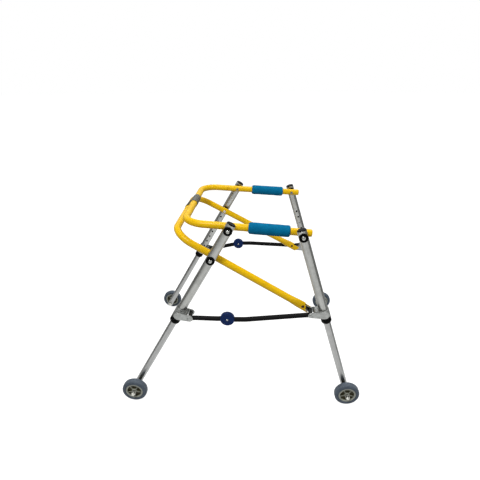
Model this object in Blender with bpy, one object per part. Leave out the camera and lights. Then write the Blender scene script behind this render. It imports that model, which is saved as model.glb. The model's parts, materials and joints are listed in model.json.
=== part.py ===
"""Folding posterior walker: two U-shaped rails on four telescopic wheeled legs.

Metres, +Z up, +X towards the open front, +Y to the user's left. The origin is on the floor
under the middle of the wheelbase. Each leg is modelled in a frame of its own, with its origin
on the leg's pivot and +Z up along the leg. A station is a distance down the leg from there.
"""
import math

import bmesh
import bpy
from mathutils import Matrix, Vector

# Clearances between pieces
GAP = 0.0003
SLOT_GAP = 0.0005

# Whole frame
WHEELBASE = 0.7108
RAIL_HEIGHT = 0.601
REAR_PIVOT_X = -0.0273
FRONT_PIVOT_X = 0.1832

# Frame tubes
TUBE_RADIUS = 0.011
TUBE_WALL = 0.0015
TUBE_SIDES = 14
BEND_STEPS = 5

# Handrail: a U that drops a little towards its open front
RAIL_REAR_X = -0.160
RAIL_FRONT_X = 0.2093
RAIL_SLOPE = -0.0684
RAIL_REAR_HALF_WIDTH = 0.2013
RAIL_FLARE = 0.032
RAIL_BEND_RADIUS = 0.060
END_PLUG_CROWN = 0.003
END_PLUG_RIM = 0.001
END_PLUG_FLAT_RADIUS = 0.0082
END_PLUG_STEM = 0.014

# Foam grips on the handrail
GRIP_REAR_X = 0.029
GRIP_LENGTH = 0.1205
GRIP_RADIUS = 0.0175
GRIP_CHAMFER = 0.003

# Lower frame: a slanting U whose ends are pressed flat for the front brackets
LOWER_REAR_X = -0.192
LOWER_DROP = 0.0268
LOWER_REAR_Z = RAIL_HEIGHT - LOWER_DROP
LOWER_SLOPE = -0.579
LOWER_INSET = 0.0028
LOWER_REAR_HALF_WIDTH = RAIL_REAR_HALF_WIDTH - LOWER_INSET
LOWER_FLARE = 0.081
LOWER_BEND_RADIUS = 0.067
LOWER_PIN_X = 0.197
FLAT_TAIL = 0.036
FLAT_HALF_HEIGHT = 0.014
FLAT_HALF_WIDTH = 0.006
# Distance from the pin along the tube, and how far the tube is pressed flat there
FLATTENING = ((-0.052, 0.0), (-0.0374, 0.3), (-0.0234, 0.8), (-0.014, 1.0), (FLAT_TAIL, 1.0))
MOUTH_TOP = 0.003
MOUTH_SHOULDER = 0.0098
MOUTH_MIDDLE = 0.012
MOUTH_WAIST = -0.004
MOUTH_FLOOR = 0.017
MOUTH_DROP = 0.0104
SLANT_FOOT = 0.0191
SLANT_HEAD = 0.0393
PIN_RADIUS = 0.003
PIN_HEAD_RADIUS = 0.005
PIN_HEAD_TOP_RADIUS = 0.003
PIN_HEAD_HEIGHT = 0.0015

# Legs: an outer tube with a sliding inner tube
LEG_RADIUS = 0.014
LEG_WALL = 0.0015
INNER_RADIUS = 0.011
INNER_WALL = 0.0015
LEG_SIDES = 14
REAR_SPACER = 0.0018
FRONT_SPACER = 0.0037
REAR_SPLAY = 0.0300
FRONT_SPLAY = 0.0258
LEG_TOP = 0.018
TOP_CAP_CROWN = 0.0028
TOP_CAP_RIM = 0.0014
TOP_CAP_FLAT_RADIUS = 0.0105
TOP_CAP_STEM = 0.007
BOLT_RADIUS = 0.004
BUSH_RADIUS = 0.0055
LOWER_BOLT_STATION = 0.1055
LEG_END_TAIL = 0.012

# Leg bracket sleeves, collars and hole rows, as stations down each leg
REAR_SLEEVE_TOP = 0.2985
REAR_SLEEVE_END = 0.3355
FRONT_SLEEVE_TOP = 0.247
FRONT_SLEEVE_END = 0.275
COLLAR_HEIGHT = 0.021
COLLAR_RADIUS = 0.0163
COLLAR_CHAMFER = 0.003
COLLAR_STEM = 0.016
HOLE_PITCH = 0.0254
HOLES_ABOVE = 2
HOLES_BELOW = 4
HOLE_RADIUS = 0.0034
REAR_BUTTON_STATION = 0.1924
FRONT_BUTTON_STATION = 0.140
INNER_TOP_MARGIN = 0.015

# Pivot washers and domed bolt heads
WASHER_RADIUS = 0.0132
WASHER_HEIGHT = 0.003
SPACER_RADIUS = 0.0125
DOME_RADIUS = 0.0068
DOME_HEIGHT = 0.004
NUT_RADIUS = 0.0055
NUT_TOP_RADIUS = 0.00385
NUT_HEIGHT = 0.0035

# Folding side struts with a disc hinge; the outer strut stays straight where the other disc passes
STRUT_HEIGHT = 0.016
STRUT_THICKNESS = 0.003
STRUT_OVERHANG = 0.0602
STRUT_WIDTH_Y = RAIL_REAR_HALF_WIDTH + STRUT_OVERHANG
STRUT_TAB = 0.015
STRUT_END_ROUNDING = (0.97, 0.8, 0.45)
DISC_X = -0.0335
DISC_DROP = 0.2675
DISC_Z = RAIL_HEIGHT - DISC_DROP
DISC_OVERHANG = 0.0205
DISC_Y = STRUT_WIDTH_Y + DISC_OVERHANG
DISC_RADIUS = 0.0215
DISC_HALF_THICKNESS = 0.0068
DISC_CHAMFER = 0.0012
DISC_TAB = 0.0065
INNER_STRUT_STRAIGHT = 0.026
OUTER_STRUT_STRAIGHT = 0.055
RIVET_RADIUS = 0.0034
RIVET_TOP_RADIUS = 0.0027
RIVET_SHOULDER = 0.0014
RIVET_HEIGHT = 0.002

# Brackets
SLEEVE_WALL = 0.0027
CHEEK = 0.004
ARM_HALF_HEIGHT = 0.0135
WEB_HALF_HEIGHT = 0.008
WEB_ROOT_HALF_HEIGHT = 0.011
WEB_CLEARANCE = 0.0015
REAR_STRUT_STATION = 0.3077
REAR_STRUT_OFFSET = 0.0344
REAR_BOSS_RADIUS = 0.0105
REAR_CHEEK_GAP = GAP
REAR_INNER_FACE = 0.014
FRONT_STRUT_STATION = 0.250
FRONT_STRUT_OFFSET = 0.041
FRONT_BOSS_RADIUS = 0.0085
FRONT_CHEEK_GAP = GAP
FRONT_INNER_FACE = 0.019
TONGUE_HALF_HEIGHT = 0.006
STRUT_BOLT_RADIUS = 0.0035
STRUT_SPACER_RADIUS = 0.0062
STRUT_HEAD_RADIUS = 0.0062
STRUT_HEAD_HEIGHT = 0.003

# Snap buttons
BUTTON_RADIUS = 0.003
BUTTON_REACH = 0.002
BUTTON_SHOULDER = 0.0018
BUTTON_CROWN_RADIUS = 0.0021
BUTTON_CROWN_DROP = 0.00045
BUTTON_FLANGE_RADIUS = 0.0045
BUTTON_FLANGE_HEIGHT = 0.002

# Wheels
WHEEL_RADIUS = 0.041
WHEEL_WIDTH = 0.023
TYRE_SHOULDER = 0.0055
TYRE_CHAMFER = 0.0012
TYRE_INNER_RADIUS = 0.0288
HUB_WIDTH = 0.0205
HUB_RIM_RADIUS = 0.0232
HUB_BOSS_RADIUS = 0.0085
HUB_WEB = 0.004
HUB_RIBS = 5
HUB_RIB_TURN = math.radians(18)
HUB_RIB_WIDTH = 0.0032
HUB_RIB_HEIGHT = 0.016
AXLE_RADIUS = 0.004
REAR_AXLE_SPACER = 0.0144
FRONT_AXLE_SPACER = 0.0085
AXLE_SPACER_RADIUS = 0.0075
AXLE_NUT_RADIUS = 0.0072
AXLE_NUT_HEIGHT = 0.0065
AXLE_DOME_RADIUS = 0.00576
AXLE_DOME_HEIGHT = 0.006
AXLE_OUTER_WASHER = 0.005

# Fold clip on the rear cross tubes
CLIP_Y = 0.015
CLIP_WIDTH = 0.070
CLIP_HOOK_WIDTH = 0.014
CLIP_WALL = 0.0018
CLIP_ARM = 0.0045

ROUND_SIDES = 12
BOLT_SIDES = 8
HOLE_SIDES = 8
WHEEL_SIDES = 18
DOME_STEPS = 3
SHOULDER_STEPS = 2
SHARP_ANGLE = math.radians(35)
Y_AXIS = Vector((0, 1, 0))
Z_AXIS = Vector((0, 0, 1))
SIDES = {"left": 1, "right": -1}


def clear_scene():
    """Remove every object of the open scene."""
    for obj in list(bpy.data.objects):
        bpy.data.objects.remove(obj)


def material(name, colour, roughness, metallic=0.0):
    """Make a Principled material from an RGB colour."""
    result = bpy.data.materials.new(name)
    result.use_nodes = True
    shader = result.node_tree.nodes["Principled BSDF"]
    shader.inputs["Base Color"].default_value = (*colour, 1.0)
    shader.inputs["Roughness"].default_value = roughness
    shader.inputs["Metallic"].default_value = metallic
    return result


def mesh_object(name, mesh_builder):
    """Turn a finished bmesh into an object with outward faces."""
    bmesh.ops.recalc_face_normals(mesh_builder, faces=mesh_builder.faces)
    mesh = bpy.data.meshes.new(name)
    mesh_builder.to_mesh(mesh)
    mesh_builder.free()
    obj = bpy.data.objects.new(name, mesh)
    bpy.context.collection.objects.link(obj)
    return obj


def combine(body, tool, operation):
    """Apply one Boolean to an object and remove the tool."""
    modifier = body.modifiers.new(operation.title(), "BOOLEAN")
    modifier.operation = operation
    modifier.solver = "EXACT"
    modifier.object = tool
    bpy.context.view_layer.update()
    evaluated = body.evaluated_get(bpy.context.evaluated_depsgraph_get())
    mesh = bpy.data.meshes.new_from_object(evaluated)
    mesh.name = body.name
    body.modifiers.clear()
    body.data = mesh
    bpy.data.objects.remove(tool)
    return body


def cut(body, tool):
    return combine(body, tool, "DIFFERENCE")


def fuse(body, tool):
    return combine(body, tool, "UNION")


def bridge_rings(builder, rings, closed):
    """Join neighbouring rings of vertices with quads, and cap the ends unless closed."""
    pairs = list(zip(rings, rings[1:]))
    if closed:
        pairs.append((rings[-1], rings[0]))
    for first, second in pairs:
        if len(first) == 1 and len(second) == 1:
            continue
        count = max(len(first), len(second))
        for index in range(count):
            following = (index + 1) % count
            if len(first) == 1:
                corners = (first[0], second[index], second[following])
            elif len(second) == 1:
                corners = (first[index], first[following], second[0])
            else:
                corners = (first[index], first[following], second[following], second[index])
            builder.faces.new(corners)
    if not closed:
        for ring in (rings[0], rings[-1]):
            if len(ring) > 2:
                builder.faces.new(ring)


def lathe(name, profile, sides=ROUND_SIDES, direction=Z_AXIS, centre=(0, 0, 0), closed=False):
    """Turn (radius, height) points about an axis; a closed profile gives a ring."""
    turn = Z_AXIS.rotation_difference(Vector(direction)).to_matrix()
    builder = bmesh.new()
    rings = []
    for radius, height in profile:
        count = sides if radius > 0 else 1
        ring = []
        for index in range(count):
            angle = 2 * math.pi * (index + 0.5) / sides
            point = Vector((radius * math.cos(angle), radius * math.sin(angle), height))
            ring.append(builder.verts.new(turn @ point + Vector(centre)))
        rings.append(ring)
    bridge_rings(builder, rings, closed)
    return mesh_object(name, builder)


def rod(name, radius, start, end, direction=Z_AXIS, centre=(0, 0, 0), sides=ROUND_SIDES):
    """Make a plain cylinder between two heights along an axis."""
    return lathe(name, [(radius, start), (radius, end)], sides, direction, centre)


def drill(radius, start, end, direction, centre):
    """Cutter for a hole whose flat sides lie at the given radius."""
    corner_radius = radius / math.cos(math.pi / HOLE_SIDES)
    return rod("hole", corner_radius, start, end, direction, centre, HOLE_SIDES)


def block(name, low, high):
    """Make a box from two opposite corners."""
    builder = bmesh.new()
    bmesh.ops.create_cube(builder, size=1.0)
    size = Vector(high) - Vector(low)
    middle = (Vector(high) + Vector(low)) / 2
    bmesh.ops.scale(builder, vec=size, verts=builder.verts)
    bmesh.ops.translate(builder, vec=middle, verts=builder.verts)
    return mesh_object(name, builder)


def plate(name, outline, low, high):
    """Extrude an outline of (x, z) points along Y."""
    builder = bmesh.new()
    rings = []
    for depth in (low, high):
        rings.append([builder.verts.new((x, depth, z)) for x, z in outline])
    bridge_rings(builder, rings, closed=False)
    return mesh_object(name, builder)


def transform(obj, matrix):
    """Move an object's mesh, not its origin."""
    obj.data.transform(matrix)
    return obj


def stadium(start, end, radius_start, radius_end, steps=8):
    """Outline round two circles, as (x, z) points."""
    axis = math.atan2(end[1] - start[1], end[0] - start[0])
    points = []
    for centre, radius, turn in ((start, radius_start, axis + math.pi / 2),
                                 (end, radius_end, axis - math.pi / 2)):
        for index in range(steps + 1):
            angle = turn + math.pi * index / steps
            points.append((centre[0] + radius * math.cos(angle),
                           centre[1] + radius * math.sin(angle)))
    return points


def rounded_route(corners, radius, steps):
    """Replace each inner corner of a route by an arc."""
    route = [corners[0]]
    for before, corner, after in zip(corners, corners[1:], corners[2:]):
        arrive = (corner - before).normalized()
        leave = (after - corner).normalized()
        angle = arrive.angle(leave)
        start = corner - arrive * radius * math.tan(angle / 2)
        inward = (leave - arrive * arrive.dot(leave)).normalized()
        for index in range(steps + 1):
            step = angle * index / steps
            across = inward * radius * (1 - math.cos(step))
            route.append(start + arrive * radius * math.sin(step) + across)
    route.append(corners[-1])
    return route


def tangents(route):
    """Direction of the route at each of its points."""
    result = []
    for index in range(len(route)):
        before = route[max(index - 1, 0)]
        after = route[min(index + 1, len(route) - 1)]
        incoming = route[index] - before
        outgoing = after - route[index]
        result.append((incoming.normalized() + outgoing.normalized()).normalized())
    return result


def tube(name, route, up, section, wall, sides):
    """Sweep a hollow oval; section gives half height and half width at each point."""
    builder = bmesh.new()
    outer_rings = []
    inner_rings = []
    for point, along, (half_height, half_width) in zip(route, tangents(route), section):
        across = along.cross(up).normalized()
        for rings, trim in ((outer_rings, 0.0), (inner_rings, wall)):
            ring = []
            for index in range(sides):
                angle = 2 * math.pi * (index + 0.5) / sides
                offset = up * (half_height - trim) * math.cos(angle)
                offset = offset + across * (half_width - trim) * math.sin(angle)
                ring.append(builder.verts.new(point + offset))
            rings.append(ring)
    bridge_rings(builder, outer_rings + inner_rings[::-1], closed=True)
    return mesh_object(name, builder)


def ribbon(name, centres, half_heights, thickness):
    """Sweep a flat bar through (x, y) centres, upright in Z."""
    route = [Vector((x, y, 0)) for x, y in centres]
    builder = bmesh.new()
    rings = []
    for point, along, half in zip(route, tangents(route), half_heights):
        across = along.cross(Z_AXIS).normalized() * thickness / 2
        rise = Z_AXIS * half
        corners = (point + across + rise, point - across + rise,
                   point - across - rise, point + across - rise)
        rings.append([builder.verts.new(corner) for corner in corners])
    bridge_rings(builder, rings, closed=False)
    return mesh_object(name, builder)


def finish(obj, name, look, body):
    """Name an object, give it its material and smooth shading, and hang it on its body."""
    obj.name = name
    obj.data.name = name
    obj.data.materials.clear()
    obj.data.materials.append(look)
    obj.data.shade_smooth()
    obj.data.set_sharp_from_angle(angle=SHARP_ANGLE)
    obj.parent = body
    return obj


def pivot_empty(name, matrix, parent=None):
    """Empty at a joint, placed in world space."""
    empty = bpy.data.objects.new(name, None)
    empty.empty_display_size = 0.03
    bpy.context.collection.objects.link(empty)
    if parent:
        empty.parent = parent
        empty.matrix_parent_inverse = parent_matrix(parent).inverted()
    empty.matrix_basis = matrix
    return empty


def parent_matrix(empty):
    """World matrix of an empty, before the scene has been evaluated."""
    if empty.parent:
        return parent_matrix(empty.parent) @ empty.matrix_parent_inverse @ empty.matrix_basis
    return empty.matrix_basis.copy()


# Positions that several pieces share

def rail_z(x):
    return RAIL_HEIGHT + RAIL_SLOPE * (x - REAR_PIVOT_X)


def rail_half_width(x):
    return RAIL_REAR_HALF_WIDTH + RAIL_FLARE * (x - RAIL_REAR_X)


def lower_z(x):
    return LOWER_REAR_Z + LOWER_SLOPE * (x - LOWER_REAR_X)


def lower_half_width(x):
    return LOWER_REAR_HALF_WIDTH + LOWER_FLARE * (x - LOWER_REAR_X)


def lower_direction(side):
    """Direction of a lower arm, from the cross tube towards its flat end."""
    return Vector((1, side * LOWER_FLARE, LOWER_SLOPE)).normalized()


class Leg:
    """Frame, stations and sizes of one leg."""

    def __init__(self, end, side_name):
        self.name = end + "_" + side_name
        self.side = SIDES[side_name]
        self.rear = end == "rear"
        self.pivot_x = REAR_PIVOT_X if self.rear else FRONT_PIVOT_X
        spacer = REAR_SPACER if self.rear else FRONT_SPACER
        self.rail_gap = TUBE_RADIUS + spacer + LEG_RADIUS
        half_width = rail_half_width(self.pivot_x) + self.rail_gap
        splay = REAR_SPLAY if self.rear else FRONT_SPLAY
        height = rail_z(self.pivot_x) - WHEEL_RADIUS
        axle_x = -WHEELBASE / 2 if self.rear else WHEELBASE / 2
        self.pivot = Vector((self.pivot_x, self.side * half_width, rail_z(self.pivot_x)))
        self.axle = Vector((axle_x, self.side * (half_width + splay * height), WHEEL_RADIUS))
        up = (self.pivot - self.axle).normalized()
        left = (Y_AXIS - up * up.dot(Y_AXIS)).normalized()
        ahead = left.cross(up)
        turn = Matrix((ahead, left, up)).transposed()
        self.matrix = Matrix.Translation(self.pivot) @ turn.to_4x4()
        self.length = (self.pivot - self.axle).length
        self.outboard = turn.inverted() @ (Y_AXIS * self.side)
        self.button = REAR_BUTTON_STATION if self.rear else FRONT_BUTTON_STATION
        self.sleeve_top = REAR_SLEEVE_TOP if self.rear else FRONT_SLEEVE_TOP
        self.sleeve_end = REAR_SLEEVE_END if self.rear else FRONT_SLEEVE_END
        self.strut_station = REAR_STRUT_STATION if self.rear else FRONT_STRUT_STATION
        self.strut_offset = REAR_STRUT_OFFSET if self.rear else -FRONT_STRUT_OFFSET
        self.boss_radius = REAR_BOSS_RADIUS if self.rear else FRONT_BOSS_RADIUS
        self.strut_middle = STRUT_WIDTH_Y - self.half_width(self.strut_station)
        cheek_gap = REAR_CHEEK_GAP if self.rear else FRONT_CHEEK_GAP
        self.outer_face = self.strut_middle + STRUT_THICKNESS / 2 + cheek_gap + CHEEK
        self.inner_face = REAR_INNER_FACE if self.rear else FRONT_INNER_FACE
        axle_spacer = REAR_AXLE_SPACER if self.rear else FRONT_AXLE_SPACER
        self.hub_middle = INNER_RADIUS + axle_spacer + HUB_WIDTH / 2
        self.wheel_y = abs(self.axle.y) + self.hub_middle

    def world(self, point):
        return self.matrix @ Vector(point)

    def local(self, point):
        return self.matrix.inverted() @ Vector(point)

    def half_width(self, station):
        return abs(self.world((0, 0, -station)).y)

    def strut_pivot(self):
        """Strut pivot in the leg's frame, on the leg's own mid plane."""
        return Vector((self.strut_offset, 0, -self.strut_station))

    def lower_pivot_x(self):
        return self.world((0, 0, -LOWER_BOLT_STATION)).x


def leg_post(radius, start, end):
    """Cylinder along a leg between two stations, for cutting and fitting."""
    return rod("post", radius, -end, -start, sides=LEG_SIDES)


def side_rod(leg, name, radius, start, end, station, sides=BOLT_SIDES):
    """Cylinder along the pivot direction; start and end count outboard from the leg."""
    return rod(name, radius, start, end, leg.outboard, (0, 0, -station), sides)


def side_drill(leg, radius, start, end, station):
    """Cutter for a hole through a leg, along the pivot direction."""
    return drill(radius, start, end, leg.outboard, (0, 0, -station))


def build_leg_tube(leg, look, body):
    profile = [(LEG_RADIUS, LEG_TOP), (LEG_RADIUS, -leg.sleeve_end),
               (LEG_RADIUS - LEG_WALL, -leg.sleeve_end), (LEG_RADIUS - LEG_WALL, LEG_TOP)]
    obj = lathe("leg", profile, LEG_SIDES, closed=True)
    reach = LEG_RADIUS + LEG_WALL
    stations = [0.0]
    if leg.rear:
        stations.append(LOWER_BOLT_STATION)
    for station in stations:
        cut(obj, side_drill(leg, BUSH_RADIUS + GAP, -reach, reach, station))
    for step in range(-HOLES_ABOVE, HOLES_BELOW + 1):
        station = leg.button + step * HOLE_PITCH
        cut(obj, side_drill(leg, HOLE_RADIUS, -reach, 0, station))
    return finish(obj, leg.name + "_leg_tube", look, body)


def build_top_cap(leg, look, body):
    stem = LEG_RADIUS - LEG_WALL - GAP
    seat = LEG_TOP + GAP
    profile = [(0, LEG_TOP - TOP_CAP_STEM), (stem, LEG_TOP - TOP_CAP_STEM), (stem, seat),
               (LEG_RADIUS, seat), (LEG_RADIUS, seat + TOP_CAP_RIM),
               (TOP_CAP_FLAT_RADIUS, seat + TOP_CAP_CROWN), (0, seat + TOP_CAP_CROWN)]
    obj = lathe("cap", profile, LEG_SIDES)
    return finish(obj, leg.name + "_top_cap", look, body)


def build_collar(leg, look, body):
    bore = INNER_RADIUS + GAP
    stem = LEG_RADIUS - LEG_WALL - GAP
    seat = -leg.sleeve_end - GAP
    foot = seat - COLLAR_HEIGHT
    profile = [(bore, seat + COLLAR_STEM), (stem, seat + COLLAR_STEM), (stem, seat),
               (COLLAR_RADIUS, seat), (COLLAR_RADIUS, foot + COLLAR_CHAMFER),
               (COLLAR_RADIUS - COLLAR_CHAMFER, foot), (bore, foot)]
    obj = lathe("collar", profile, LEG_SIDES, closed=True)
    return finish(obj, leg.name + "_collar", look, body)


def build_bracket(leg, look, body):
    """Sleeve round the leg with two cheeks that hold the strut's bolt, joined by a web."""
    sleeve = LEG_RADIUS + SLEEVE_WALL
    obj = leg_post(sleeve, leg.sleeve_top, leg.sleeve_end)
    strut = leg.strut_pivot()
    middle = -(leg.sleeve_top + leg.sleeve_end) / 2
    arm = stadium((strut.x, strut.z), (0, middle), leg.boss_radius, ARM_HALF_HEIGHT)
    towards = (Vector((0, 0, middle)) - strut).normalized()
    tip = strut + towards * (STRUT_HEIGHT / 2 + WEB_CLEARANCE + WEB_HALF_HEIGHT)
    web = stadium((tip.x, tip.z), (0, middle), WEB_HALF_HEIGHT, WEB_ROOT_HALF_HEIGHT)
    cheeks = [(leg.outer_face - CHEEK, leg.outer_face, arm),
              (-leg.inner_face, CHEEK - leg.inner_face, arm),
              (CHEEK / 2 - leg.inner_face, leg.outer_face - CHEEK / 2, web)]
    if not leg.rear:
        pin = lower_pin_point(leg)
        tongue = stadium((pin.x, pin.z), (strut.x, strut.z), TONGUE_HALF_HEIGHT, leg.boss_radius)
        cheeks.append((-leg.inner_face, CHEEK - leg.inner_face, tongue))
    for low, high, outline in cheeks:
        ends = sorted((leg.side * low, leg.side * high))
        fuse(obj, plate("cheek", outline, *ends))
    cut(obj, leg_post(LEG_RADIUS + GAP, leg.sleeve_top - CHEEK, leg.sleeve_end + CHEEK))
    fuse(obj, strut_pin(leg))
    if not leg.rear:
        centre = lower_pin_point(leg)
        reach = leg.inner_face + CHEEK
        cut(obj, drill(PIN_RADIUS + GAP, -reach, 0, leg.outboard, centre))
    return finish(obj, leg.name + "_bracket", look, body)


def lower_pin_point(leg):
    """Lower frame pin in the leg's frame, on the leg's own mid plane."""
    level = leg.half_width(leg.sleeve_top)
    return leg.local((LOWER_PIN_X, leg.side * level, lower_z(LOWER_PIN_X)))


def saddle(leg, name, radius, start, end, station):
    """Round washer hollowed to sit against the leg tube."""
    obj = side_rod(leg, name, radius, start, end, station, ROUND_SIDES)
    reach = radius * 2
    return cut(obj, leg_post(LEG_RADIUS + GAP, station - reach, station + reach))


def inner_spacer_end(leg, station, tube_half_width, slope):
    """Flat face of a spacer against the rail or the lower tube, outboard from the leg."""
    tangent = tube_half_width + TUBE_RADIUS
    return tangent + slope * SPACER_RADIUS + GAP - leg.half_width(station)


def leg_pivots(leg):
    """Station, tube half width and flare at each tube that the leg carries."""
    pivots = [(0.0, rail_half_width(leg.pivot_x), RAIL_FLARE)]
    if leg.rear:
        x = leg.lower_pivot_x()
        pivots.append((LOWER_BOLT_STATION, lower_half_width(x), LOWER_FLARE))
    return pivots


def pivot_bush(leg, station, half_width, flare):
    """Outer washer and inner spacer joined by a sleeve through the leg tube."""
    inner_reach = LEG_RADIUS * math.sqrt(1 - (SPACER_RADIUS / LEG_RADIUS) ** 2)
    outer_reach = LEG_RADIUS * math.sqrt(1 - (WASHER_RADIUS / LEG_RADIUS) ** 2)
    outer_face = LEG_RADIUS + WASHER_HEIGHT
    face = inner_spacer_end(leg, station, half_width, flare)
    obj = saddle(leg, "washer", WASHER_RADIUS, outer_reach, outer_face, station)
    fuse(obj, side_rod(leg, "sleeve", BUSH_RADIUS, face + GAP, outer_face - GAP, station))
    return fuse(obj, saddle(leg, "spacer", SPACER_RADIUS, face, -inner_reach, station))


def build_bush(leg, look, body):
    """Black bush of the upper pivot, bored for its bolt."""
    pivot = leg_pivots(leg)[0]
    obj = pivot_bush(leg, *pivot)
    reach = LEG_RADIUS * 2
    cut(obj, side_drill(leg, BOLT_RADIUS + GAP, -reach, reach, pivot[0]))
    return finish(obj, leg.name + "_upper_bush", look, body)


def domed_head(radius, seat, height):
    """Profile of a domed head that rises from its seat to the axis."""
    points = [(radius, seat)]
    for index in range(1, DOME_STEPS):
        angle = math.pi / 2 * index / DOME_STEPS
        points.append((radius * math.cos(angle), seat + height * math.sin(angle)))
    points.append((0, seat + height))
    return points


def build_upper_bolt(leg, look, body):
    """Bolt through the leg, its bush and the handrail."""
    washer_face = LEG_RADIUS + WASHER_HEIGHT + GAP
    rail_face = -(leg.rail_gap + TUBE_RADIUS + GAP)
    profile = nut_profile(rail_face) + [(BOLT_RADIUS, rail_face), (BOLT_RADIUS, washer_face)]
    profile += domed_head(DOME_RADIUS, washer_face, DOME_HEIGHT)
    obj = lathe("bolt", profile, BOLT_SIDES, leg.outboard)
    return finish(obj, leg.name + "_upper_bolt", look, body)


def build_lower_bolt(leg, look, body):
    """Bolt and bush in one moulding, the leg's half of the lower pivot."""
    pivot = leg_pivots(leg)[1]
    obj = pivot_bush(leg, *pivot)
    seat = LEG_RADIUS + WASHER_HEIGHT - GAP
    profile = [(0, 0), (BOLT_RADIUS, 0), (BOLT_RADIUS, seat)]
    profile += domed_head(DOME_RADIUS, seat, DOME_HEIGHT + GAP * 2)
    fuse(obj, lathe("head", profile, BOLT_SIDES, leg.outboard, (0, 0, -pivot[0])))
    return finish(obj, leg.name + "_lower_bolt", look, body)


def nut_profile(face):
    """Profile of a low round nut that ends at its face."""
    return [(0, face - NUT_HEIGHT), (NUT_TOP_RADIUS, face - NUT_HEIGHT),
            (NUT_RADIUS, face - NUT_HEIGHT / 2), (NUT_RADIUS, face)]


def strut_pin(leg):
    """Riveted pin across both cheeks, with a shoulder on each side of the strut."""
    near = leg.strut_middle - STRUT_THICKNESS / 2 - GAP
    far = leg.strut_middle + STRUT_THICKNESS / 2 + GAP
    cheek_in = CHEEK / 2 - leg.inner_face
    cheek_out = leg.outer_face - CHEEK / 2
    head = leg.outer_face - GAP
    if leg.rear:
        nut_face = GAP - leg.inner_face
        profile = nut_profile(nut_face)
        profile += [(STRUT_BOLT_RADIUS, nut_face), (STRUT_BOLT_RADIUS, cheek_in)]
    else:
        profile = [(0, cheek_in)]
    profile += [(STRUT_SPACER_RADIUS, cheek_in), (STRUT_SPACER_RADIUS, near),
                (STRUT_BOLT_RADIUS, near), (STRUT_BOLT_RADIUS, far),
                (STRUT_SPACER_RADIUS, far), (STRUT_SPACER_RADIUS, cheek_out),
                (STRUT_BOLT_RADIUS, cheek_out), (STRUT_BOLT_RADIUS, head)]
    profile += domed_head(STRUT_HEAD_RADIUS, head, STRUT_HEAD_HEIGHT)
    return lathe("pin", profile, BOLT_SIDES, leg.outboard, leg.strut_pivot())


def build_inner_tube(leg, look, body):
    top = -(leg.button - INNER_TOP_MARGIN)
    bottom = -(leg.length + LEG_END_TAIL)
    profile = [(INNER_RADIUS, top), (INNER_RADIUS, bottom),
               (INNER_RADIUS - INNER_WALL, bottom), (INNER_RADIUS - INNER_WALL, top)]
    obj = lathe("inner", profile, LEG_SIDES, closed=True)
    reach = INNER_RADIUS + INNER_WALL
    cut(obj, side_drill(leg, AXLE_RADIUS + GAP, -reach, reach, leg.length))
    cut(obj, side_drill(leg, HOLE_RADIUS, -reach, 0, leg.button))
    return finish(obj, leg.name + "_inner_tube", look, body)


def build_axle_bolt(leg, look, body):
    """Axle through the leg and the wheel, with a domed nut at each end."""
    leg_face = INNER_RADIUS + GAP
    hub_inner = leg.hub_middle - HUB_WIDTH / 2 - GAP
    hub_outer = leg.hub_middle + HUB_WIDTH / 2 + GAP
    nut_inner = -leg_face - AXLE_NUT_HEIGHT
    nut_outer = hub_outer + AXLE_OUTER_WASHER + AXLE_NUT_HEIGHT
    inner_dome = domed_head(AXLE_DOME_RADIUS, -nut_inner, AXLE_DOME_HEIGHT)
    profile = [(radius, -height) for radius, height in inner_dome[::-1]]
    profile += [(AXLE_NUT_RADIUS, nut_inner), (AXLE_NUT_RADIUS, -leg_face),
                (AXLE_RADIUS, -leg_face), (AXLE_RADIUS, leg_face),
                (AXLE_SPACER_RADIUS, leg_face), (AXLE_SPACER_RADIUS, hub_inner),
                (AXLE_RADIUS, hub_inner), (AXLE_RADIUS, hub_outer),
                (AXLE_NUT_RADIUS, hub_outer), (AXLE_NUT_RADIUS, nut_outer)]
    profile += domed_head(AXLE_DOME_RADIUS, nut_outer, AXLE_DOME_HEIGHT)
    obj = lathe("axle", profile, BOLT_SIDES, leg.outboard, (0, 0, -leg.length))
    return finish(obj, leg.name + "_axle_bolt", look, body)


def build_snap_button(leg, look, body):
    tip = LEG_RADIUS + BUTTON_REACH
    bore = INNER_RADIUS - INNER_WALL
    seat = math.sqrt(bore ** 2 - BUTTON_FLANGE_RADIUS ** 2) - GAP
    foot = seat - BUTTON_FLANGE_HEIGHT
    profile = [(0, foot), (BUTTON_FLANGE_RADIUS, foot), (BUTTON_FLANGE_RADIUS, seat),
               (BUTTON_RADIUS, seat), (BUTTON_RADIUS, tip - BUTTON_SHOULDER),
               (BUTTON_CROWN_RADIUS, tip - BUTTON_CROWN_DROP), (0, tip)]
    obj = lathe("button", profile, BOLT_SIDES, -leg.outboard, (0, 0, -leg.button))
    return finish(obj, leg.name + "_snap_button", look, body)


def build_tyre(leg, look, body):
    half = WHEEL_WIDTH / 2
    profile = [(TYRE_INNER_RADIUS, TYRE_CHAMFER - half)]
    profile.append((TYRE_INNER_RADIUS + TYRE_CHAMFER, -half))
    for end in (-1, 1):
        arc = []
        for index in range(SHOULDER_STEPS + 1):
            angle = math.pi / 2 * index / SHOULDER_STEPS
            radius = WHEEL_RADIUS - TYRE_SHOULDER * (1 - math.sin(angle))
            height = half - TYRE_SHOULDER * (1 - math.cos(angle))
            arc.append((radius, end * height))
        profile += arc if end < 0 else arc[::-1]
    profile.append((TYRE_INNER_RADIUS + TYRE_CHAMFER, half))
    profile.append((TYRE_INNER_RADIUS, half - TYRE_CHAMFER))
    obj = lathe("tyre", profile, WHEEL_SIDES, Y_AXIS, closed=True)
    return finish(obj, leg.name + "_tyre", look, body)


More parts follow.
